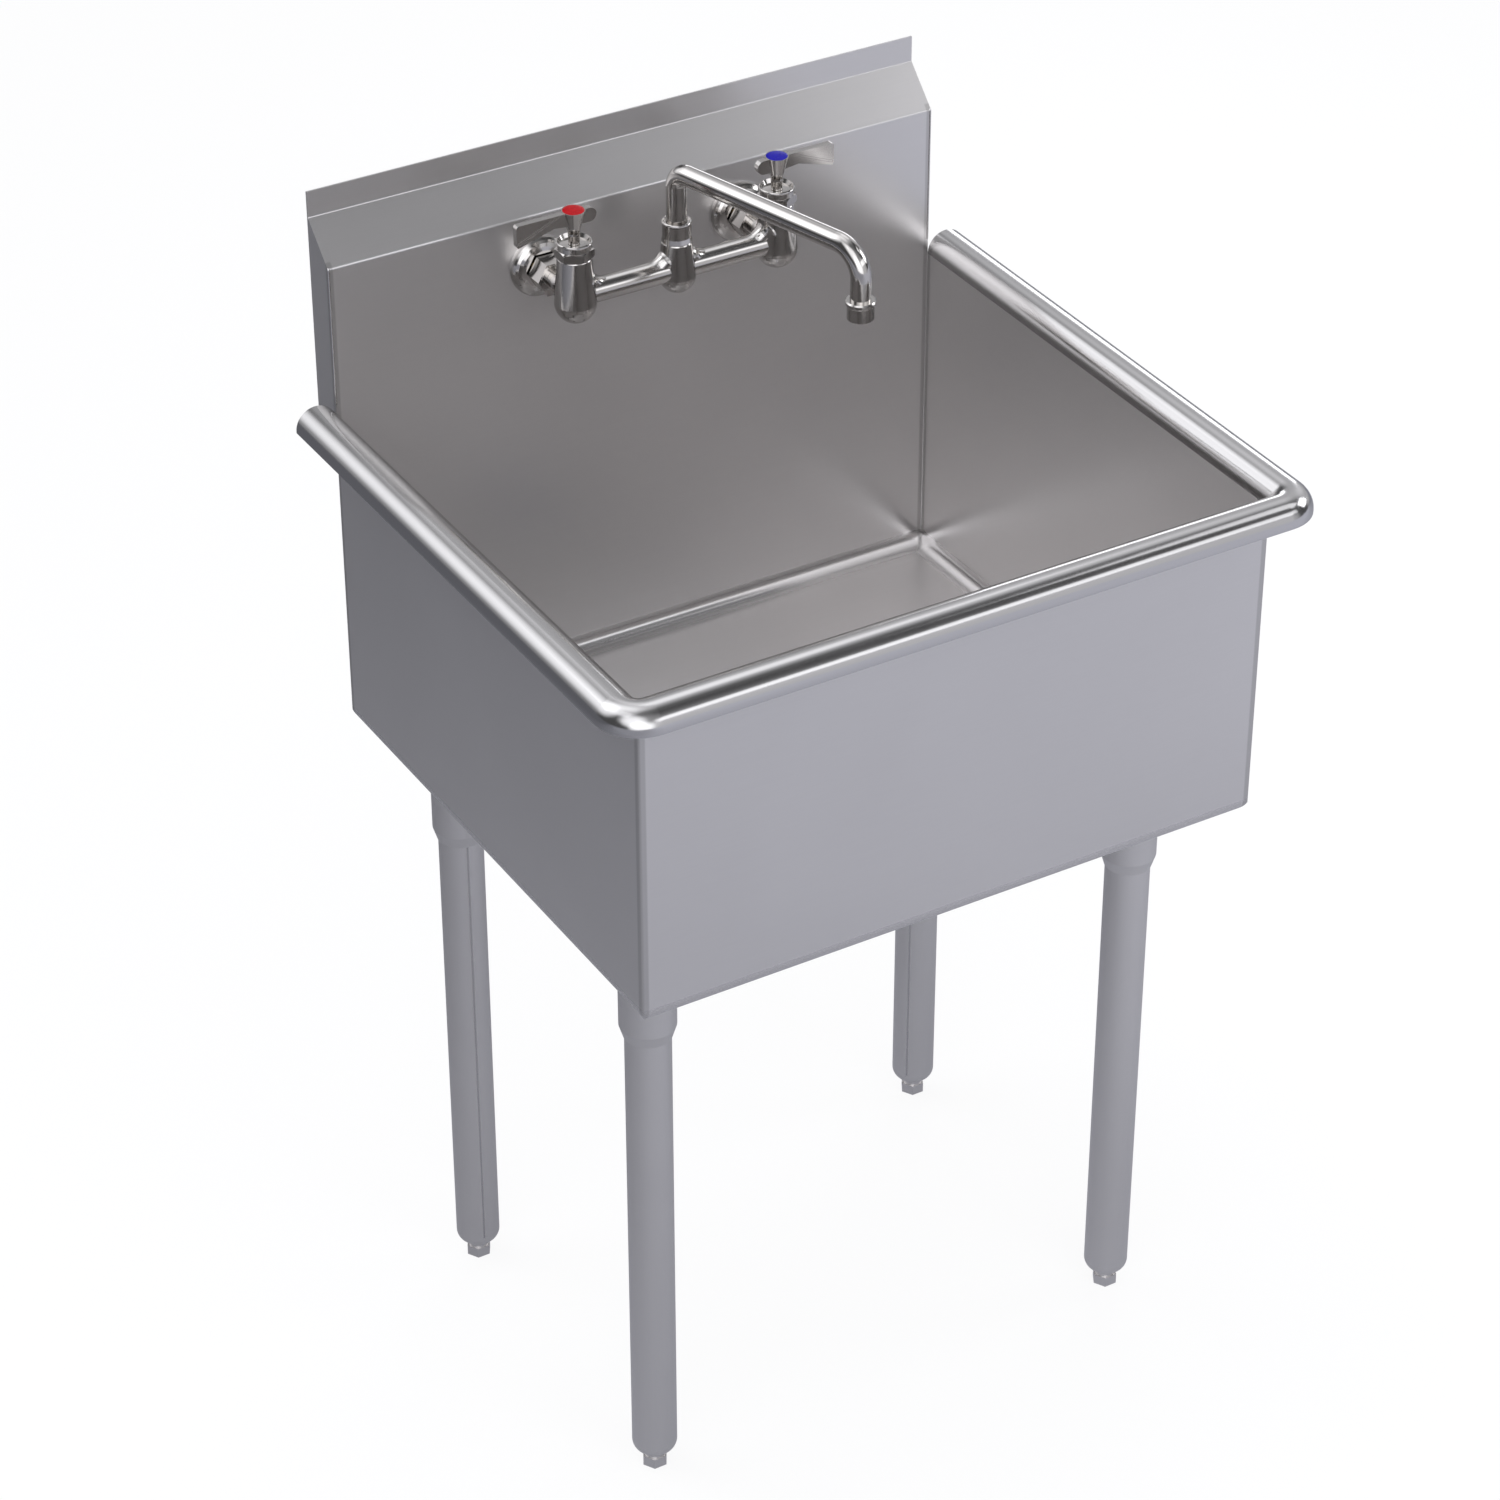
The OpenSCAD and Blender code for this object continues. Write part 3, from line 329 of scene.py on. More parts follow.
def steel_material(name, light, dark, rough_low, rough_high, density, grain_depth, metallic=1.0):
    """Stainless steel: colour drifts between light and dark with wiping, roughness with the grain."""
    material, n, shader, coords = start_material(name)
    grain = use_group(n, brushed_grain_group(), Vector=coords, Density=density)
    handled = use_group(n, handled_metal_group(), Vector=coords, Scale=CLOUD_SCALE)
    mix = n.math("ADD", n.math("MULTIPLY", handled.outputs["Clouds"], 0.7),
                 n.math("MULTIPLY", grain.outputs["Grain"], 0.3))
    n.put(shader, "Base Color", n.mix_colour(mix, rgba(light), rgba(dark)))
    rough = n.math("ADD", n.math("MULTIPLY", handled.outputs["Smears"], 0.4),
                   n.math("MULTIPLY", grain.outputs["Grain"], 0.6))
    n.put(shader, "Roughness", n.span(rough, 0.0, 1.0, rough_low, rough_high, smooth=False))
    n.put(shader, "Metallic", metallic)
    bump = n.add("ShaderNodeBump")
    n.put(bump, "Strength", grain_depth)
    n.put(bump, "Distance", 0.0002)
    n.put(bump, "Height", grain.outputs["Height"])
    n.put(shader, "Normal", bump.outputs[0])
    return material


def polish_coves_shade_corners(material, polish):
    """Takes a steel material's roughness down to polish in its coves, and darkens its upright corners with
    painted shade.
    """
    n = Nodes(material.node_tree)
    shader = next(node for node in material.node_tree.nodes if node.type == "BSDF_PRINCIPLED")
    coords = next(node for node in material.node_tree.nodes if node.type == "TEX_COORD").outputs["Object"]
    seams = use_group(n, coves_and_corner_shade_group(), Vector=coords)
    mix = n.add("ShaderNodeMix", data_type="FLOAT")
    n.put(mix, 0, seams.outputs["Coves"])
    n.put(mix, 2, shader.inputs["Roughness"].links[0].from_socket)
    n.put(mix, 3, polish)
    n.put(shader, "Roughness", mix.outputs[0])
    # Painted shade: the upright corners are mixed towards the dark corner tone
    corner_shade = n.mix_colour(n.math("MULTIPLY", seams.outputs["Uprights"], 0.6),
                          shader.inputs["Base Color"].links[0].from_socket, rgba(CORNER_SHADE_STEEL))
    n.put(shader, "Base Color", corner_shade)


def cut_thread(material, centre, thread, start, along_y=False):
    """Adds a screw thread's ridges past start to a metal material; the axis runs along Z, or along Y."""
    pitch, depth, reach = thread
    n = Nodes(material.node_tree)
    shader = next(node for node in material.node_tree.nodes if node.type == "BSDF_PRINCIPLED")
    coords = next(node for node in material.node_tree.nodes if node.type == "TEX_COORD").outputs["Object"]
    if along_y:
        x, y, z = n.axes(coords)
        turned = n.add("ShaderNodeCombineXYZ")
        for socket, axis in zip((0, 1, 2), (x, z, y)):
            n.put(turned, socket, axis)
        coords, centre = turned.outputs[0], (centre[0], centre[2], centre[1])
    ridges = use_group(n, screw_thread_group(), Vector=coords, Centre=centre, Pitch=pitch, Reach=reach,
                       Start=start)
    bump = n.add("ShaderNodeBump")
    n.put(bump, "Strength", 1.0)
    n.put(bump, "Distance", depth)
    n.put(bump, "Height", ridges.outputs["Height"])
    n.put(bump, "Normal", shader.inputs["Normal"].links[0].from_socket)
    n.put(shader, "Normal", bump.outputs[0])


def plastic_material(name, light, dark, rough, specular=0.5):
    """Moulded or pressed material: a fine mottling of two close colours and a faint skin texture."""
    material, n, shader, coords = start_material(name)
    mottle = n.add("ShaderNodeTexNoise")
    n.put(mottle, "Vector", coords)
    n.put(mottle, "Scale", MOTTLE_SCALE)
    n.put(mottle, "Detail", 3.0)
    mask = n.span(mottle.outputs[0], 0.3, 0.7)
    n.put(shader, "Base Color", n.mix_colour(mask, rgba(light), rgba(dark)))
    n.put(shader, "Roughness", n.span(mask, 0.0, 1.0, rough, rough + 0.08, smooth=False))
    n.put(shader, "Specular IOR Level", specular)
    bump = n.add("ShaderNodeBump")
    n.put(bump, "Strength", 0.12)
    n.put(bump, "Distance", 0.0001)
    n.put(bump, "Height", mottle.outputs[0])
    n.put(shader, "Normal", bump.outputs[0])
    return material


def dress(material, *names):
    """Gives the material to whole CAD nodes and scene pieces."""
    for name in names:
        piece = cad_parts.get(name) or bpy.data.objects[name]
        piece.data.materials.clear()
        piece.data.materials.append(material)


# Turn of each leg tube's weld seam, in degrees from +X
SEAM_TURNS = (60.0, 120.0, -100.0, -140.0)
# The backsplash's section: slope in degrees, height of its top edge and inside radius of its bends in metres
SLOPE = 45.0
TOP_EDGE = 0.0245
BEND = 0.002

# Screw threads: pitch, depth and outside radius in metres, of the foot stems and of the inlet shanks
FOOT_THREAD = (0.002, 0.0011, 0.0081)
SHANK_THREAD = (0.0018, 0.0008, 0.0116)
# Socket welds: points round a ring, and how far the ripples swell the bead, as a share of its radius
WELD_STEPS = 360
WELD_RIPPLE = 0.1
# Leg seams: points along one, how far it stands out and how far over the tube's end it starts, in metres
SEAM_STEPS = 12
SEAM_RISE = 0.0002
SEAM_START = 0.0005
# Splash welds: points up the face and round the bend, the share of the bead's radius that is sunk, and
# how far under the rim's top a bead starts, in metres
FACE_STEPS = 8
BEND_STEPS = 9
BEAD_SUNK = 0.6
BEAD_START = 0.004
# Patterns in a metre: clouds on wiped steel, and mottles on rubber, fibre or plastic
CLOUD_SCALE = 4.0
MOTTLE_SCALE = 300.0

# Metal finishes: roughness from and to, the grain's density along X, Y and Z in a metre, and its depth
SATIN_SHEET = (0.285, 0.31, (40.0, 2600.0, 2600.0), 0.008)
SATIN_TUBE = (0.285, 0.31, (2600.0, 2600.0, 40.0), 0.008)
POLISHED_RIM = (0.15, 0.19, (30.0, 30.0, 300.0), 0.0)
CAST_FOOT = (0.28, 0.34, (500.0, 500.0, 500.0), 0.02)
WELD_METAL = (0.2, 0.28, (300.0, 300.0, 300.0), 0.02)
CHROME_PLATE = (0.10, 0.14, (60.0, 60.0, 60.0), 0.0)
DRAIN_PLATE = (0.08, 0.16, (80.0, 80.0, 80.0), 0.02)
MACHINED = (0.22, 0.34, (300.0, 300.0, 900.0), 0.08)
BRIGHT_SCREW = (0.18, 0.3, (200.0, 200.0, 200.0), 0.05)
BRIGHT_PRESSED = (0.16, 0.28, (200.0, 200.0, 200.0), 0.04)
DRAIN_PRESSED = (0.14, 0.26, (200.0, 200.0, 200.0), 0.04)
# How metallic the satin steel is, and its roughness in the polished coves
SATIN_METALLIC = 0.9
COVE_POLISH = 0.2

# Painted shade tone of the bowl's upright corners, and light and dark tones of the smaller pieces' materials
CORNER_SHADE_STEEL = (0.40, 0.39, 0.385)
SCREW_STEEL = ((0.7, 0.7, 0.72), (0.6, 0.6, 0.62))
PRESSED_STEEL = ((0.72, 0.72, 0.74), (0.62, 0.62, 0.64))
DRAIN_STEEL = ((0.74, 0.74, 0.76), (0.64, 0.64, 0.66))
BRASS = ((0.78, 0.58, 0.28), (0.68, 0.48, 0.22))
RUBBER = ((0.03, 0.03, 0.032), (0.018, 0.018, 0.02))
FIBRE = ((0.55, 0.42, 0.28), (0.46, 0.34, 0.22))
NYLON = ((0.80, 0.80, 0.77), (0.74, 0.74, 0.71))

# The floor: points round it, its radius and level, how far from the middle its mirrored tones change,
# and where the back ones start to, in metres
FLOOR_STEPS = 96
FLOOR_RADIUS = 40.0
FLOOR_LEVEL = -0.0005
FLOOR_REACH = 1.5
FLOOR_BACK_START = -0.3
# How much of the floor that the camera sees is plain white; the rest takes the sink's shadow
FLOOR_WHITE = 0.88
# Wall panels: turn and rise in degrees, strength; each fades to nothing where the cosine falls to PANEL_EDGE
WALL_PANELS = (
    (225, 38, 1.67), (270, 38, 0.30), (144, 66, 0.80), (135, 38, 1.45), (72, 66, 0.70), (45, 38, 0.55),
    (292.5, 8, 0.70), (247.5, 8, 2.00), (112.5, 8, 0.35), (22.5, 8, 0.53), (0, 90, 0.15),
)
PANEL_EDGE = 0.82
ROOM_TINT = (0.97, 0.98, 1.02)
# Width of the camera's sensor in millimetres
SENSOR_WIDTH = 36.0
# Lamps: name, place, size in metres, power in watts, whether metal mirrors it
LAMP_TARGET = (0.0, 0.0, 0.9)
LAMPS = (
    ("strip", (1.42, -2.51, 2.38), (2.4, 0.7), 6.4, True),
    ("back_right", (2.0, 2.2, 1.5), (1.6, 0.8), 8.7, True),
    ("right_up", (1.9, -0.8, 3.0), (0.9, 0.9), 3.1, True),
    ("right_low", (2.4, -0.4, 1.9), (0.9, 0.9), 9.9, True),
    ("ceiling_right", (0.85, 0.8, 3.0), (0.8, 0.8), 0.82, True),
    ("ceiling_back", (-0.15, 1.6, 2.4), (0.6, 0.6), 0.41, True),
    ("left_up", (-1.4, -0.4, 2.9), (0.9, 0.9), 1.1, True),
    ("left_back", (-1.6, 1.2, 2.6), (0.9, 0.9), 2.6, True),
    ("soft_middle", (0.0, -0.3, 2.6), (1.2, 1.2), 13.0, False),
    ("soft_front", (0.2, -2.2, 2.2), (1.2, 1.2), 12.0, False),
)


# Settings

class StageSettings(bpy.types.PropertyGroup):
    floor_colour: bpy.props.FloatVectorProperty(
        name="Floor colour", description="Colour of the pale floor", subtype="COLOR", size=3,
        default=(0.92, 0.92, 0.93), min=0.0, max=1.0)
    lamp_power: bpy.props.FloatProperty(
        name="Lamps", description="Multiplies the power of every lamp", default=1.0, min=0.0, max=4.0)
    wall_power: bpy.props.FloatProperty(
        name="Wall panels", description="Multiplies the soft panels on the room's walls",
        default=0.96, min=0.0, max=4.0)
    room_tone: bpy.props.FloatProperty(
        name="Room", description="How bright the room is between its panels", default=0.09, min=0.0, max=1.0)
    floor_tones: bpy.props.FloatVectorProperty(
        name="Floor tones",
        description="How bright metal sees the floor: front left, front right, back left, back right",
        size=4, default=(0.45, 0.77, 0.185, 0.34), min=0.0, max=1.0)
    floor_tint: bpy.props.FloatVectorProperty(
        name="Floor tint", description="Cool tint of the floor as metal sees it", subtype="COLOR", size=3,
        default=(0.86, 0.88, 1.0), min=0.0, max=1.0)
    lens: bpy.props.FloatProperty(
        name="Lens", description="Focal length of the camera in millimetres on a 36 mm sensor",
        default=108.41, min=20.0, max=300.0)
    camera_place: bpy.props.FloatVectorProperty(
        name="Camera place",
        description="Camera, measured from the middle of the bowl's back edge at rim height",
        subtype="TRANSLATION", unit="LENGTH", size=3, default=(-1.739951, -3.130903, 1.931560))
    camera_turn: bpy.props.FloatVectorProperty(
        name="Camera turn", description="Heading, tilt and roll of the camera", subtype="EULER",
        unit="ROTATION", size=3, default=(-0.5343769685, -0.5907643359, 0.0008005774))


class FinishSettings(bpy.types.PropertyGroup):
    sheet_light: bpy.props.FloatVectorProperty(
        name="Sheet light", description="Lighter tone of the satin sheet steel", subtype="COLOR", size=3,
        default=(0.655, 0.640, 0.635), min=0.0, max=1.0)
    sheet_dark: bpy.props.FloatVectorProperty(
        name="Sheet dark", description="Darker tone of the satin sheet steel", subtype="COLOR", size=3,
        default=(0.625, 0.610, 0.605), min=0.0, max=1.0)
    rim_light: bpy.props.FloatVectorProperty(
        name="Rim light", description="Tone of the polished rim", subtype="COLOR", size=3,
        default=(0.585, 0.575, 0.57), min=0.0, max=1.0)
    chrome_tone: bpy.props.FloatVectorProperty(
        name="Chrome", description="Tone of the chrome plate", subtype="COLOR", size=3,
        default=(0.555, 0.535, 0.515), min=0.0, max=1.0)
    hot_colour: bpy.props.FloatVectorProperty(
        name="Hot index", description="Colour of the hot index", subtype="COLOR", size=3,
        default=(0.36, 0.002, 0.005), min=0.0, max=1.0)
    cold_colour: bpy.props.FloatVectorProperty(
        name="Cold index", description="Colour of the cold index", subtype="COLOR", size=3,
        default=(0.008, 0.006, 0.27), min=0.0, max=1.0)


class FineSettings(bpy.types.PropertyGroup):
    weld_radius: bpy.props.FloatProperty(
        name="Socket weld", description="Radius of the weld bead round a socket's top", subtype="DISTANCE",
        unit="LENGTH", default=0.0013, min=0.0005, max=0.003)
    weld_pitch: bpy.props.FloatProperty(
        name="Weld ripple", description="Distance between the ripples of a weld bead", subtype="DISTANCE",
        unit="LENGTH", default=0.0028, min=0.001, max=0.01)
    seam_width: bpy.props.FloatProperty(
        name="Tube seam", description="Width of the ground seam down a leg tube", subtype="DISTANCE",
        unit="LENGTH", default=0.0016, min=0.0005, max=0.004)
    splash_bead: bpy.props.FloatProperty(
        name="Splash weld", description="Radius of the polished weld along the backsplash's ends",
        subtype="DISTANCE", unit="LENGTH", default=0.0012, min=0.0005, max=0.003)


class SINK_OT_stage(bpy.types.Operator):
    """Makes the pale floor, the soft lamps, the world and the camera"""
    bl_idname = "sink.stage"
    bl_label = "Stage"

    def execute(self, context):
        s = context.scene.sink_stage
        make_floor(s)
        make_world(s)
        make_lamps(s)
        make_camera(s)
        return {"FINISHED"}


class SINK_OT_sheet_steel(bpy.types.Operator):
    """Finishes the bowl, the backsplash and its end panels in satin steel"""
    bl_idname = "sink.sheet_steel"
    bl_label = "Sheet steel"

    def execute(self, context):
        f = context.scene.sink_finish
        satin = steel_material("Satin sheet", f.sheet_light, f.sheet_dark, *SATIN_SHEET,
                               metallic=SATIN_METALLIC)
        polish_coves_shade_corners(satin, COVE_POLISH)
        dress(satin, "bowl", "backsplash", "splash_end_left", "splash_end_right")
        return {"FINISHED"}


class SINK_OT_rim(bpy.types.Operator):
    """Finishes the rolled rim and its end plates in polished steel"""
    bl_idname = "sink.rim"
    bl_label = "Rolled rim"

    def execute(self, context):
        f = context.scene.sink_finish
        rim_dark = [c * 0.96 for c in f.rim_light]
        polished = steel_material("Polished rim", f.rim_light, rim_dark, *POLISHED_RIM)
        dress(polished, "rolled_rim", "rim_end_plates")
        return {"FINISHED"}


class SINK_OT_legs(bpy.types.Operator):
    """Finishes the sockets, leg tubes, bushes and set screws"""
    bl_idname = "sink.legs"
    bl_label = "Legs and sockets"

    def execute(self, context):
        f = context.scene.sink_finish
        tube = steel_material("Satin tube", f.sheet_light, f.sheet_dark, *SATIN_TUBE,
                              metallic=SATIN_METALLIC)
        dress(tube, *[part + corner for part in ("socket_", "leg_") for corner in CORNERS])
        dress(plastic_material("White nylon", *NYLON, 0.42), "foot_bushes")
        dress(steel_material("Bright screw", *SCREW_STEEL, *BRIGHT_SCREW), "socket_set_screws")
        return {"FINISHED"}


class SINK_OT_feet(bpy.types.Operator):
    """Finishes the four bullet feet, whose stems carry a screw thread"""
    bl_idname = "sink.feet"
    bl_label = "Feet"

    def execute(self, context):
        f = context.scene.sink_finish
        for corner in CORNERS:
            foot = steel_material("Cast foot " + corner.replace("_", " "), f.sheet_light, f.sheet_dark,
                                  *CAST_FOOT, metallic=SATIN_METALLIC)
            low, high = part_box("foot_" + corner)
            centre = ((low[0] + high[0]) / 2.0, (low[1] + high[1]) / 2.0, 0.0)
            leg_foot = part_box("leg_" + corner)[0][2]
            cut_thread(foot, centre, FOOT_THREAD, leg_foot)
            dress(foot, "foot_" + corner)
        return {"FINISHED"}


class SINK_OT_welds(bpy.types.Operator):
    """Makes the weld beads: round the sockets' tops, down the leg tubes and along the backsplash's ends"""
    bl_idname = "sink.welds"
    bl_label = "Weld beads"

    def execute(self, context):
        f = context.scene.sink_finish
        bead_dark = [c * 0.9 for c in f.rim_light]
        bead = steel_material("Weld bead", f.rim_light, bead_dark, *WELD_METAL)
        make_socket_welds(context.scene.sink_fine)
        make_leg_seams(context.scene.sink_fine)
        make_splash_welds(context.scene.sink_fine)
        dress(bead, "socket_welds", "leg_seams", "splash_welds")
        return {"FINISHED"}


class SINK_OT_faucet(bpy.types.Operator):
    """Finishes the faucet, its spout, levers, indexes and inner pieces"""
    bl_idname = "sink.faucet"
    bl_label = "Faucet"

    def execute(self, context):
        f = context.scene.sink_finish
        chrome_dark = [c * 0.95 for c in f.chrome_tone]
        chrome = steel_material("Chrome plate", f.chrome_tone, chrome_dark, *CHROME_PLATE)
        dress(chrome, "faucet_body", "wall_flange_left", "wall_flange_right", "coupling_nut_left",
              "coupling_nut_right", "bonnet_left", "bonnet_right", "handle_left", "handle_right",
              "spout", "spout_nut", "aerator_housing")
        brass = steel_material("Machined brass", *BRASS, *MACHINED)
        dress(brass, "shank_locknuts", "cartridge_left", "cartridge_right", "stem_left", "stem_right")
        for side in ("left", "right"):
            shank = steel_material("Threaded shank " + side, *BRASS, *MACHINED)
            low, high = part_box("inlet_shank_" + side)
            centre = ((low[0] + high[0]) / 2.0, 0.0, (low[2] + high[2]) / 2.0)
            cut_thread(shank, centre, SHANK_THREAD, FACE_Y, along_y=True)
            dress(shank, "inlet_shank_" + side)
        dress(plastic_material("Black rubber", *RUBBER, 0.6), "spout_seals", "aerator_seal")
        dress(plastic_material("Fibre washer", *FIBRE, 0.75), "shank_washers")
        dress(plastic_material("Nylon screen", *NYLON, 0.4), "aerator_screen")
        for name, colour in (("hot", f.hot_colour), ("cold", f.cold_colour)):
            dark = [c * 0.8 for c in colour]
            index = plastic_material(name.capitalize() + " index", colour, dark, 0.2, specular=0.12)
            dress(index, "index_" + name)
        bright = steel_material("Bright pressed steel", *PRESSED_STEEL, *BRIGHT_PRESSED)
        dress(bright, "handle_screw_left", "handle_screw_right")
        return {"FINISHED"}


class SINK_OT_drain(bpy.types.Operator):
    """Finishes the drain, its strainer basket and its tailpiece"""
    bl_idname = "sink.drain"
    bl_label = "Drain"

    def execute(self, context):
        f = context.scene.sink_finish
        pressed = steel_material("Pressed drain steel", *DRAIN_STEEL, *DRAIN_PRESSED)
        dress(pressed, "drain_body", "strainer_basket", "basket_post")
        plated_dark = [c * 0.9 for c in f.chrome_tone]
        plated = steel_material("Plated drain metal", f.chrome_tone, plated_dark, *DRAIN_PLATE)
        dress(plated, "drain_locknut", "tail_nut", "tailpiece")
        dress(plastic_material("Drain rubber", *RUBBER, 0.6), "drain_gasket", "basket_stopper")
        dress(plastic_material("Slip ring", *FIBRE, 0.75), "drain_slip_ring")
        return {"FINISHED"}


class SINK_PT_panel(bpy.types.Panel):
    """Lists the sink's steps in the sidebar"""
    bl_idname = "SINK_PT_panel"
    bl_label = "Laundry sink"
    bl_space_type = "VIEW_3D"
    bl_region_type = "UI"
    bl_category = "Sink"

    def draw(self, context):
        for settings in (context.scene.sink_stage, context.scene.sink_finish, context.scene.sink_fine):
            for key in settings.__annotations__:
                self.layout.prop(settings, key)
        for operator in STEPS:
            self.layout.operator(operator.bl_idname)


# Fine pieces

def make_socket_welds(s):
    """A rippled ring under the bowl round each socket: radius = socket radius, section a small circle."""
    parts = []
    turns = np.linspace(0.0, 2.0 * pi, WELD_STEPS, endpoint=False)
    radial = np.stack([np.cos(turns), np.sin(turns), np.zeros_like(turns)], -1)
    upward = np.tile((0.0, 0.0, 1.0), (len(turns), 1))
    for corner in CORNERS:
        low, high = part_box("socket_" + corner)
        centre = np.array([(low[0] + high[0]) / 2.0, (low[1] + high[1]) / 2.0, UNDER_Z])
        path = centre + radial * (high[0] - low[0]) / 2.0
        parts.append(sweep_bead(path, radial, upward, s.weld_radius, s.weld_radius, closed=True,
                                ripple=WELD_RIPPLE, pitch=s.weld_pitch))
    points, faces = join_parts(parts)
    add_piece("socket_welds", points, faces, "sink")


def make_leg_seams(s):
    """A flat ellipse carried straight up each leg's outside, from the tube's end to its socket."""
    parts = []
    for corner, turn in zip(CORNERS, SEAM_TURNS):
        low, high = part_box("leg_" + corner)
        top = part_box("socket_" + corner)[0][2]
        radius = (high[0] - low[0]) / 2.0
        heights = np.linspace(low[2] + SEAM_START, top, SEAM_STEPS)
        outward = np.array([cos(radians(turn)), sin(radians(turn)), 0.0])
        along = np.array([-outward[1], outward[0], 0.0])
        centre = np.array([(low[0] + high[0]) / 2.0, (low[1] + high[1]) / 2.0, 0.0]) + outward * radius
        path = centre + heights[:, None] * np.array([0.0, 0.0, 1.0])
        rows = len(path)
        parts.append(sweep_bead(path, np.tile(along, (rows, 1)), np.tile(outward, (rows, 1)),
                                s.seam_width / 2.0, SEAM_RISE))
    points, faces = join_parts(parts)
    add_piece("leg_seams", points, faces, "sink")


def splash_path():
    """The backsplash's front line in its side view, up the face and round the bend into the slope.

    Returns points and outward directions as (y, z) rows. The bend is an arc about the source's own centre:
    point = centre + radius * (cos(a), sin(a)), from a half turn down to a quarter turn plus the slope.
    """
    high_y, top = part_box("backsplash")[1][1] - SHEET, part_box("backsplash")[1][2]
    slope = radians(SLOPE)
    slope_low = top - TOP_EDGE - (high_y - FACE_Y) * tan(slope)
    radius = BEND + SHEET
    centre = (FACE_Y + radius, slope_low + radius * ((1.0 - sin(slope)) * tan(slope) - cos(slope)))
    a = np.linspace(pi, pi / 2.0 + slope, BEND_STEPS)
    bend = np.stack([centre[0] + radius * np.cos(a), centre[1] + radius * np.sin(a)], -1)
    heights = np.linspace(RIM_Z - BEAD_START, bend[0, 1], FACE_STEPS, endpoint=False)
    face = np.stack([np.full(FACE_STEPS, FACE_Y), heights], -1)
    out = np.concatenate([np.tile((-1.0, 0.0), (FACE_STEPS, 1)), np.stack([np.cos(a), np.sin(a)], -1)])
    return np.concatenate([face, bend]), out


def make_splash_welds(s):
    """A round bead carried up the backsplash's face at each end, where the end panel is welded on."""
    line, out = splash_path()
    parts = []
    for side in (-1.0, 1.0):
        x = np.full((len(line), 1), side * (HALF_W - s.splash_bead * BEAD_SUNK))
        sunk = line - out * s.splash_bead * BEAD_SUNK
        path = np.concatenate([x, sunk], 1)
        outward = np.concatenate([np.zeros((len(line), 1)), out], 1)
        across = np.tile((1.0, 0.0, 0.0), (len(line), 1))
        parts.append(sweep_bead(path, across, outward, s.splash_bead, s.splash_bead, sides=16))
    points, faces = join_parts(parts)
    add_piece("splash_welds", points, faces, "sink", smooth_deg=60.0)


# Stage

def make_floor(s):
    """A wide disc round the origin, just under the feet; its points are radius * (cos(turn), sin(turn)).

    The camera sees it white with the sink's shadow, and metal mirrors it as four tones that blend.
    """
    turns = np.linspace(0.0, 2.0 * pi, FLOOR_STEPS, endpoint=False)
    ring = np.stack([np.cos(turns) * FLOOR_RADIUS, np.sin(turns) * FLOOR_RADIUS,
                     np.full_like(turns, FLOOR_LEVEL)], -1)
    mesh = bpy.data.meshes.new("floor")
    mesh.from_pydata(ring.tolist(), [], [list(range(len(ring)))])
    floor = bpy.data.objects.new("floor", mesh)
    bpy.context.scene.collection.objects.link(floor)
    material = bpy.data.materials.new("Pale floor")
    material.use_nodes = True
    material.node_tree.nodes.clear()
    n = Nodes(material.node_tree)
    out = n.add("ShaderNodeOutputMaterial")
    matte = n.add("ShaderNodeBsdfDiffuse")
    n.put(matte, "Color", rgba(s.floor_colour))
    path = n.add("ShaderNodeLightPath")
    white = n.add("ShaderNodeEmission")
    n.put(white, "Color", (1.0, 1.0, 1.0, 1.0))
    seen = n.add("ShaderNodeMixShader")
    n.put(seen, 0, n.math("MULTIPLY", path.outputs["Is Camera Ray"], FLOOR_WHITE))
    n.put(seen, 1, matte.outputs[0])
    n.put(seen, 2, white.outputs[0])
    x, y, _ = n.axes(n.add("ShaderNodeTexCoord").outputs["Object"])
    back = n.span(y, -FLOOR_REACH, FLOOR_REACH, smooth=False)
    front_tone = n.span(x, -FLOOR_REACH, FLOOR_REACH, s.floor_tones[0], s.floor_tones[1], smooth=False)
    back_tone = n.span(x, FLOOR_BACK_START, FLOOR_REACH, s.floor_tones[2], s.floor_tones[3])
    tone = n.add("ShaderNodeMix", data_type="FLOAT")
    n.put(tone, 0, back)
    n.put(tone, 2, front_tone)
    n.put(tone, 3, back_tone)
    mirrored = n.add("ShaderNodeEmission")
    n.put(mirrored, "Color", rgba(s.floor_tint))
    n.put(mirrored, "Strength", tone.outputs[0])
    mix = n.add("ShaderNodeMixShader")
    reflected = n.math("ADD", path.outputs["Is Glossy Ray"], path.outputs["Is Transmission Ray"],
                       clamp=True)
    n.put(mix, 0, reflected)
    n.put(mix, 1, seen.outputs[0])
    n.put(mix, 2, mirrored.outputs[0])
    n.put(out, "Surface", mix.outputs[0])
    floor.data.materials.append(material)


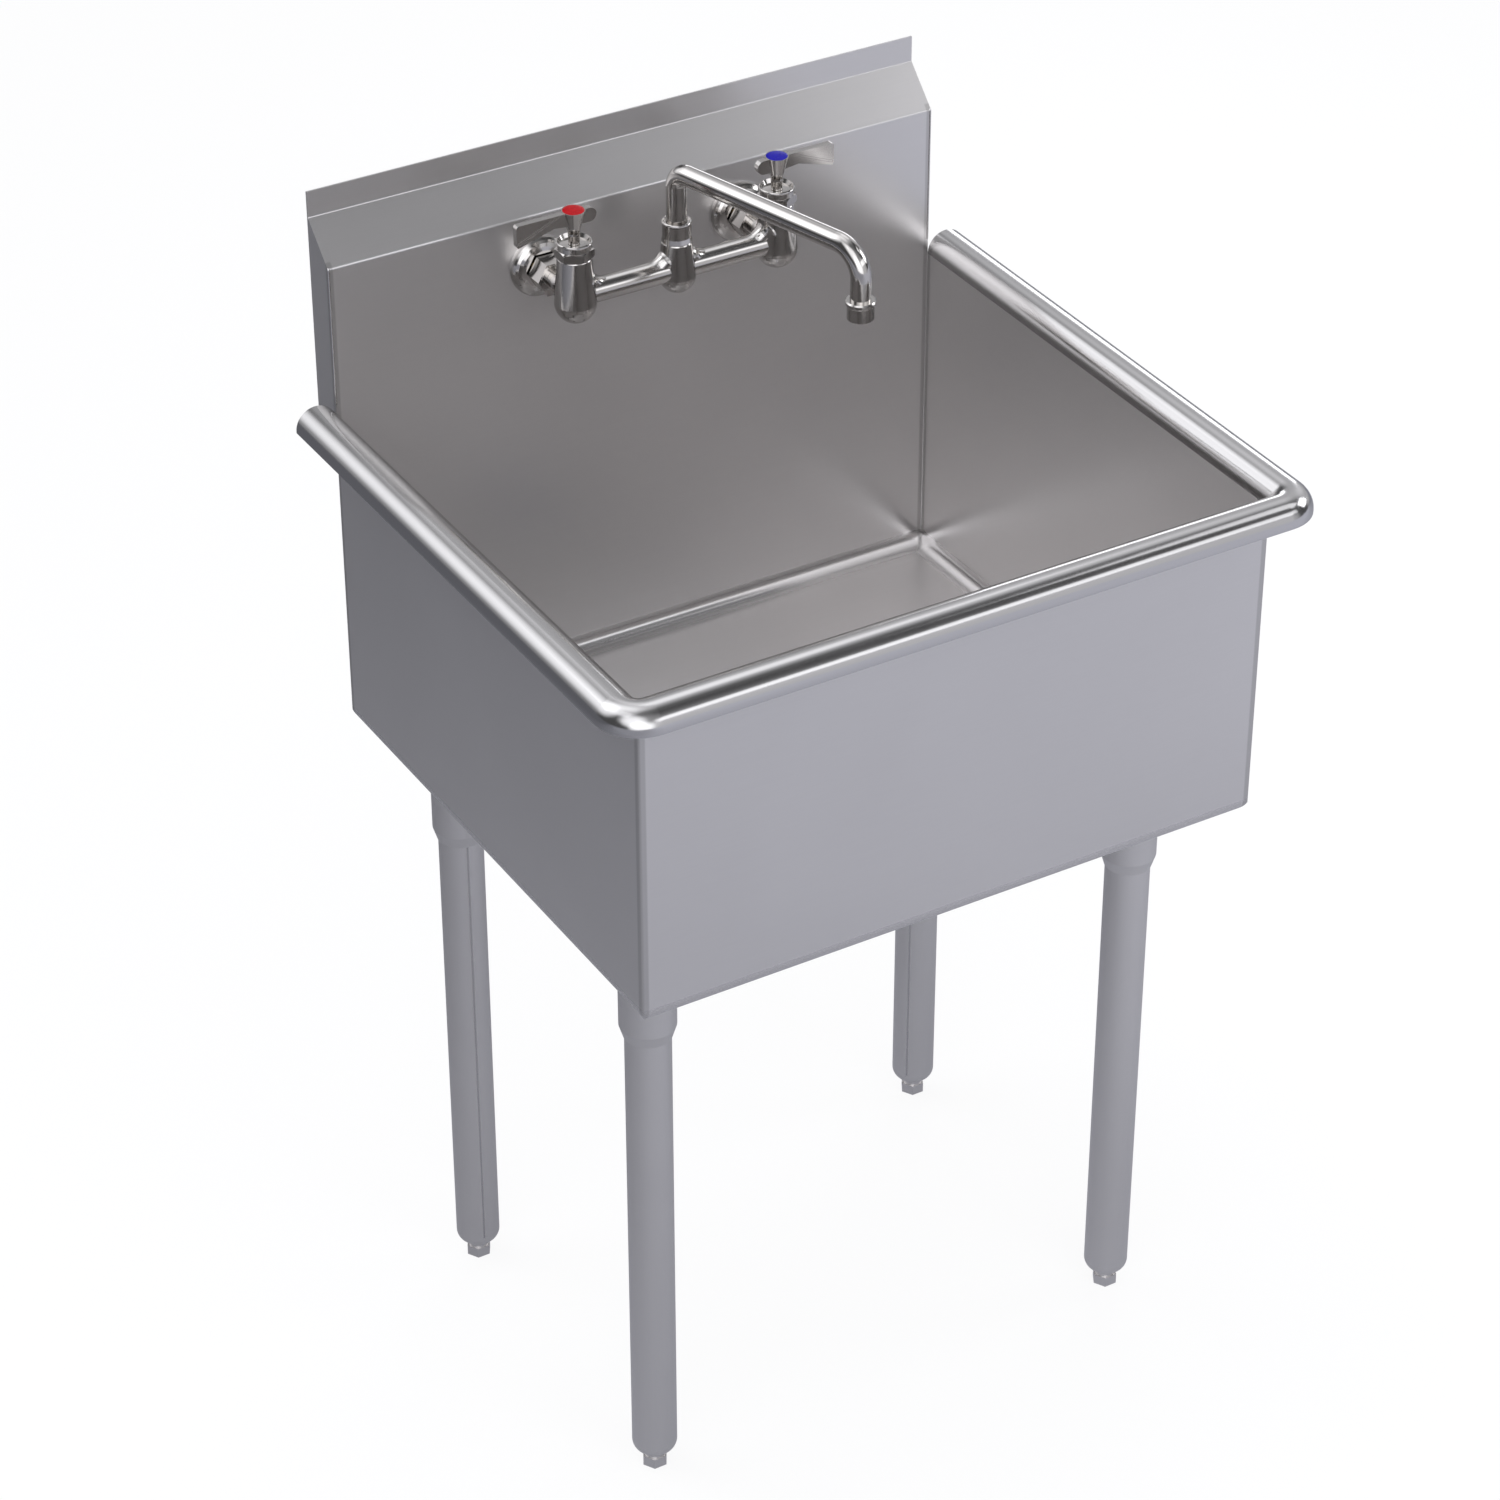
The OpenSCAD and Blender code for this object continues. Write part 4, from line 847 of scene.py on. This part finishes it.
def make_world(s):
    """White for the camera; for light and reflections a dim room whose walls carry large soft panels."""
    world = bpy.data.worlds.new("Studio")
    bpy.context.scene.world = world
    world.use_nodes = True
    world.node_tree.nodes.clear()
    n = Nodes(world.node_tree)
    out = n.add("ShaderNodeOutputWorld")
    view = n.add("ShaderNodeTexCoord").outputs["Generated"]
    total = s.room_tone
    for turn, rise, strength in WALL_PANELS:
        turn, rise = radians(turn), radians(rise)
        near = n.add("ShaderNodeVectorMath", operation="DOT_PRODUCT")
        n.put(near, 0, view)
        n.put(near, 1, (cos(turn) * cos(rise), sin(turn) * cos(rise), sin(rise)))
        panel = n.span(near.outputs["Value"], PANEL_EDGE, 1.0, 0.0, strength * s.wall_power)
        total = n.math("ADD", total, panel)
    room = n.add("ShaderNodeBackground")
    n.put(room, "Color", rgba(ROOM_TINT))
    n.put(room, "Strength", total)
    white = n.add("ShaderNodeBackground")
    n.put(white, "Color", (1.0, 1.0, 1.0, 1.0))
    path = n.add("ShaderNodeLightPath")
    mix = n.add("ShaderNodeMixShader")
    n.put(mix, 0, path.outputs["Is Camera Ray"])
    n.put(mix, 1, room.outputs[0])
    n.put(mix, 2, white.outputs[0])
    n.put(out, "Surface", mix.outputs[0])


def add_lamp(name, place, size, power):
    """A rectangular area lamp at place that faces the middle of the sink."""
    data = bpy.data.lights.new(name, "AREA")
    data.shape = "RECTANGLE"
    data.size, data.size_y = size
    data.energy = power
    data.color = ROOM_TINT
    lamp = bpy.data.objects.new(name, data)
    bpy.context.scene.collection.objects.link(lamp)
    lamp.location = place
    lamp.rotation_euler = (Vector(LAMP_TARGET) - Vector(place)).to_track_quat("-Z", "Y").to_euler()
    return lamp


def make_lamps(s):
    """Soft rectangular lamps round and over the sink; the last two light it without showing in metal."""
    for name, place, size, power, mirrored in LAMPS:
        lamp = add_lamp(name, place, size, power * s.lamp_power)
        lamp.visible_glossy = mirrored


def make_camera(s):
    """The photo's camera: turned by its heading about Z, its tilt about X and its roll about the view."""
    data = bpy.data.cameras.new("camera")
    data.sensor_fit = "HORIZONTAL"
    data.sensor_width = SENSOR_WIDTH
    data.lens = s.lens
    camera = bpy.data.objects.new("camera", data)
    bpy.context.scene.collection.objects.link(camera)
    heading, tilt, roll = s.camera_turn
    turn = (Matrix.Rotation(heading, 3, "Z") @ Matrix.Rotation(tilt, 3, "X") @ Matrix.Rotation(roll, 3, "Y")
            @ Matrix.Rotation(radians(90.0), 3, "X"))
    camera.matrix_world = Matrix.Translation(Vector(s.camera_place) + BACK_EDGE) @ turn.to_4x4()
    bpy.context.scene.camera = camera


STEPS = (SINK_OT_stage, SINK_OT_sheet_steel, SINK_OT_rim, SINK_OT_legs, SINK_OT_feet, SINK_OT_welds,
         SINK_OT_faucet, SINK_OT_drain)
CLASSES = (StageSettings, FinishSettings, FineSettings) + STEPS + (SINK_PT_panel,)


def register():
    for cls in CLASSES:
        bpy.utils.register_class(cls)
    bpy.types.Scene.sink_stage = bpy.props.PointerProperty(type=StageSettings)
    bpy.types.Scene.sink_finish = bpy.props.PointerProperty(type=FinishSettings)
    bpy.types.Scene.sink_fine = bpy.props.PointerProperty(type=FineSettings)


def unregister():
    del bpy.types.Scene.sink_fine
    del bpy.types.Scene.sink_finish
    del bpy.types.Scene.sink_stage
    for cls in reversed(CLASSES):
        bpy.utils.unregister_class(cls)


def main():
    register()
    bpy.context.scene.view_settings.view_transform = "Standard"
    bpy.ops.sink.stage()
    bpy.ops.sink.sheet_steel()
    bpy.ops.sink.rim()
    bpy.ops.sink.legs()
    bpy.ops.sink.feet()
    bpy.ops.sink.welds()
    bpy.ops.sink.faucet()
    bpy.ops.sink.drain()


if __name__ == "__main__":
    main()
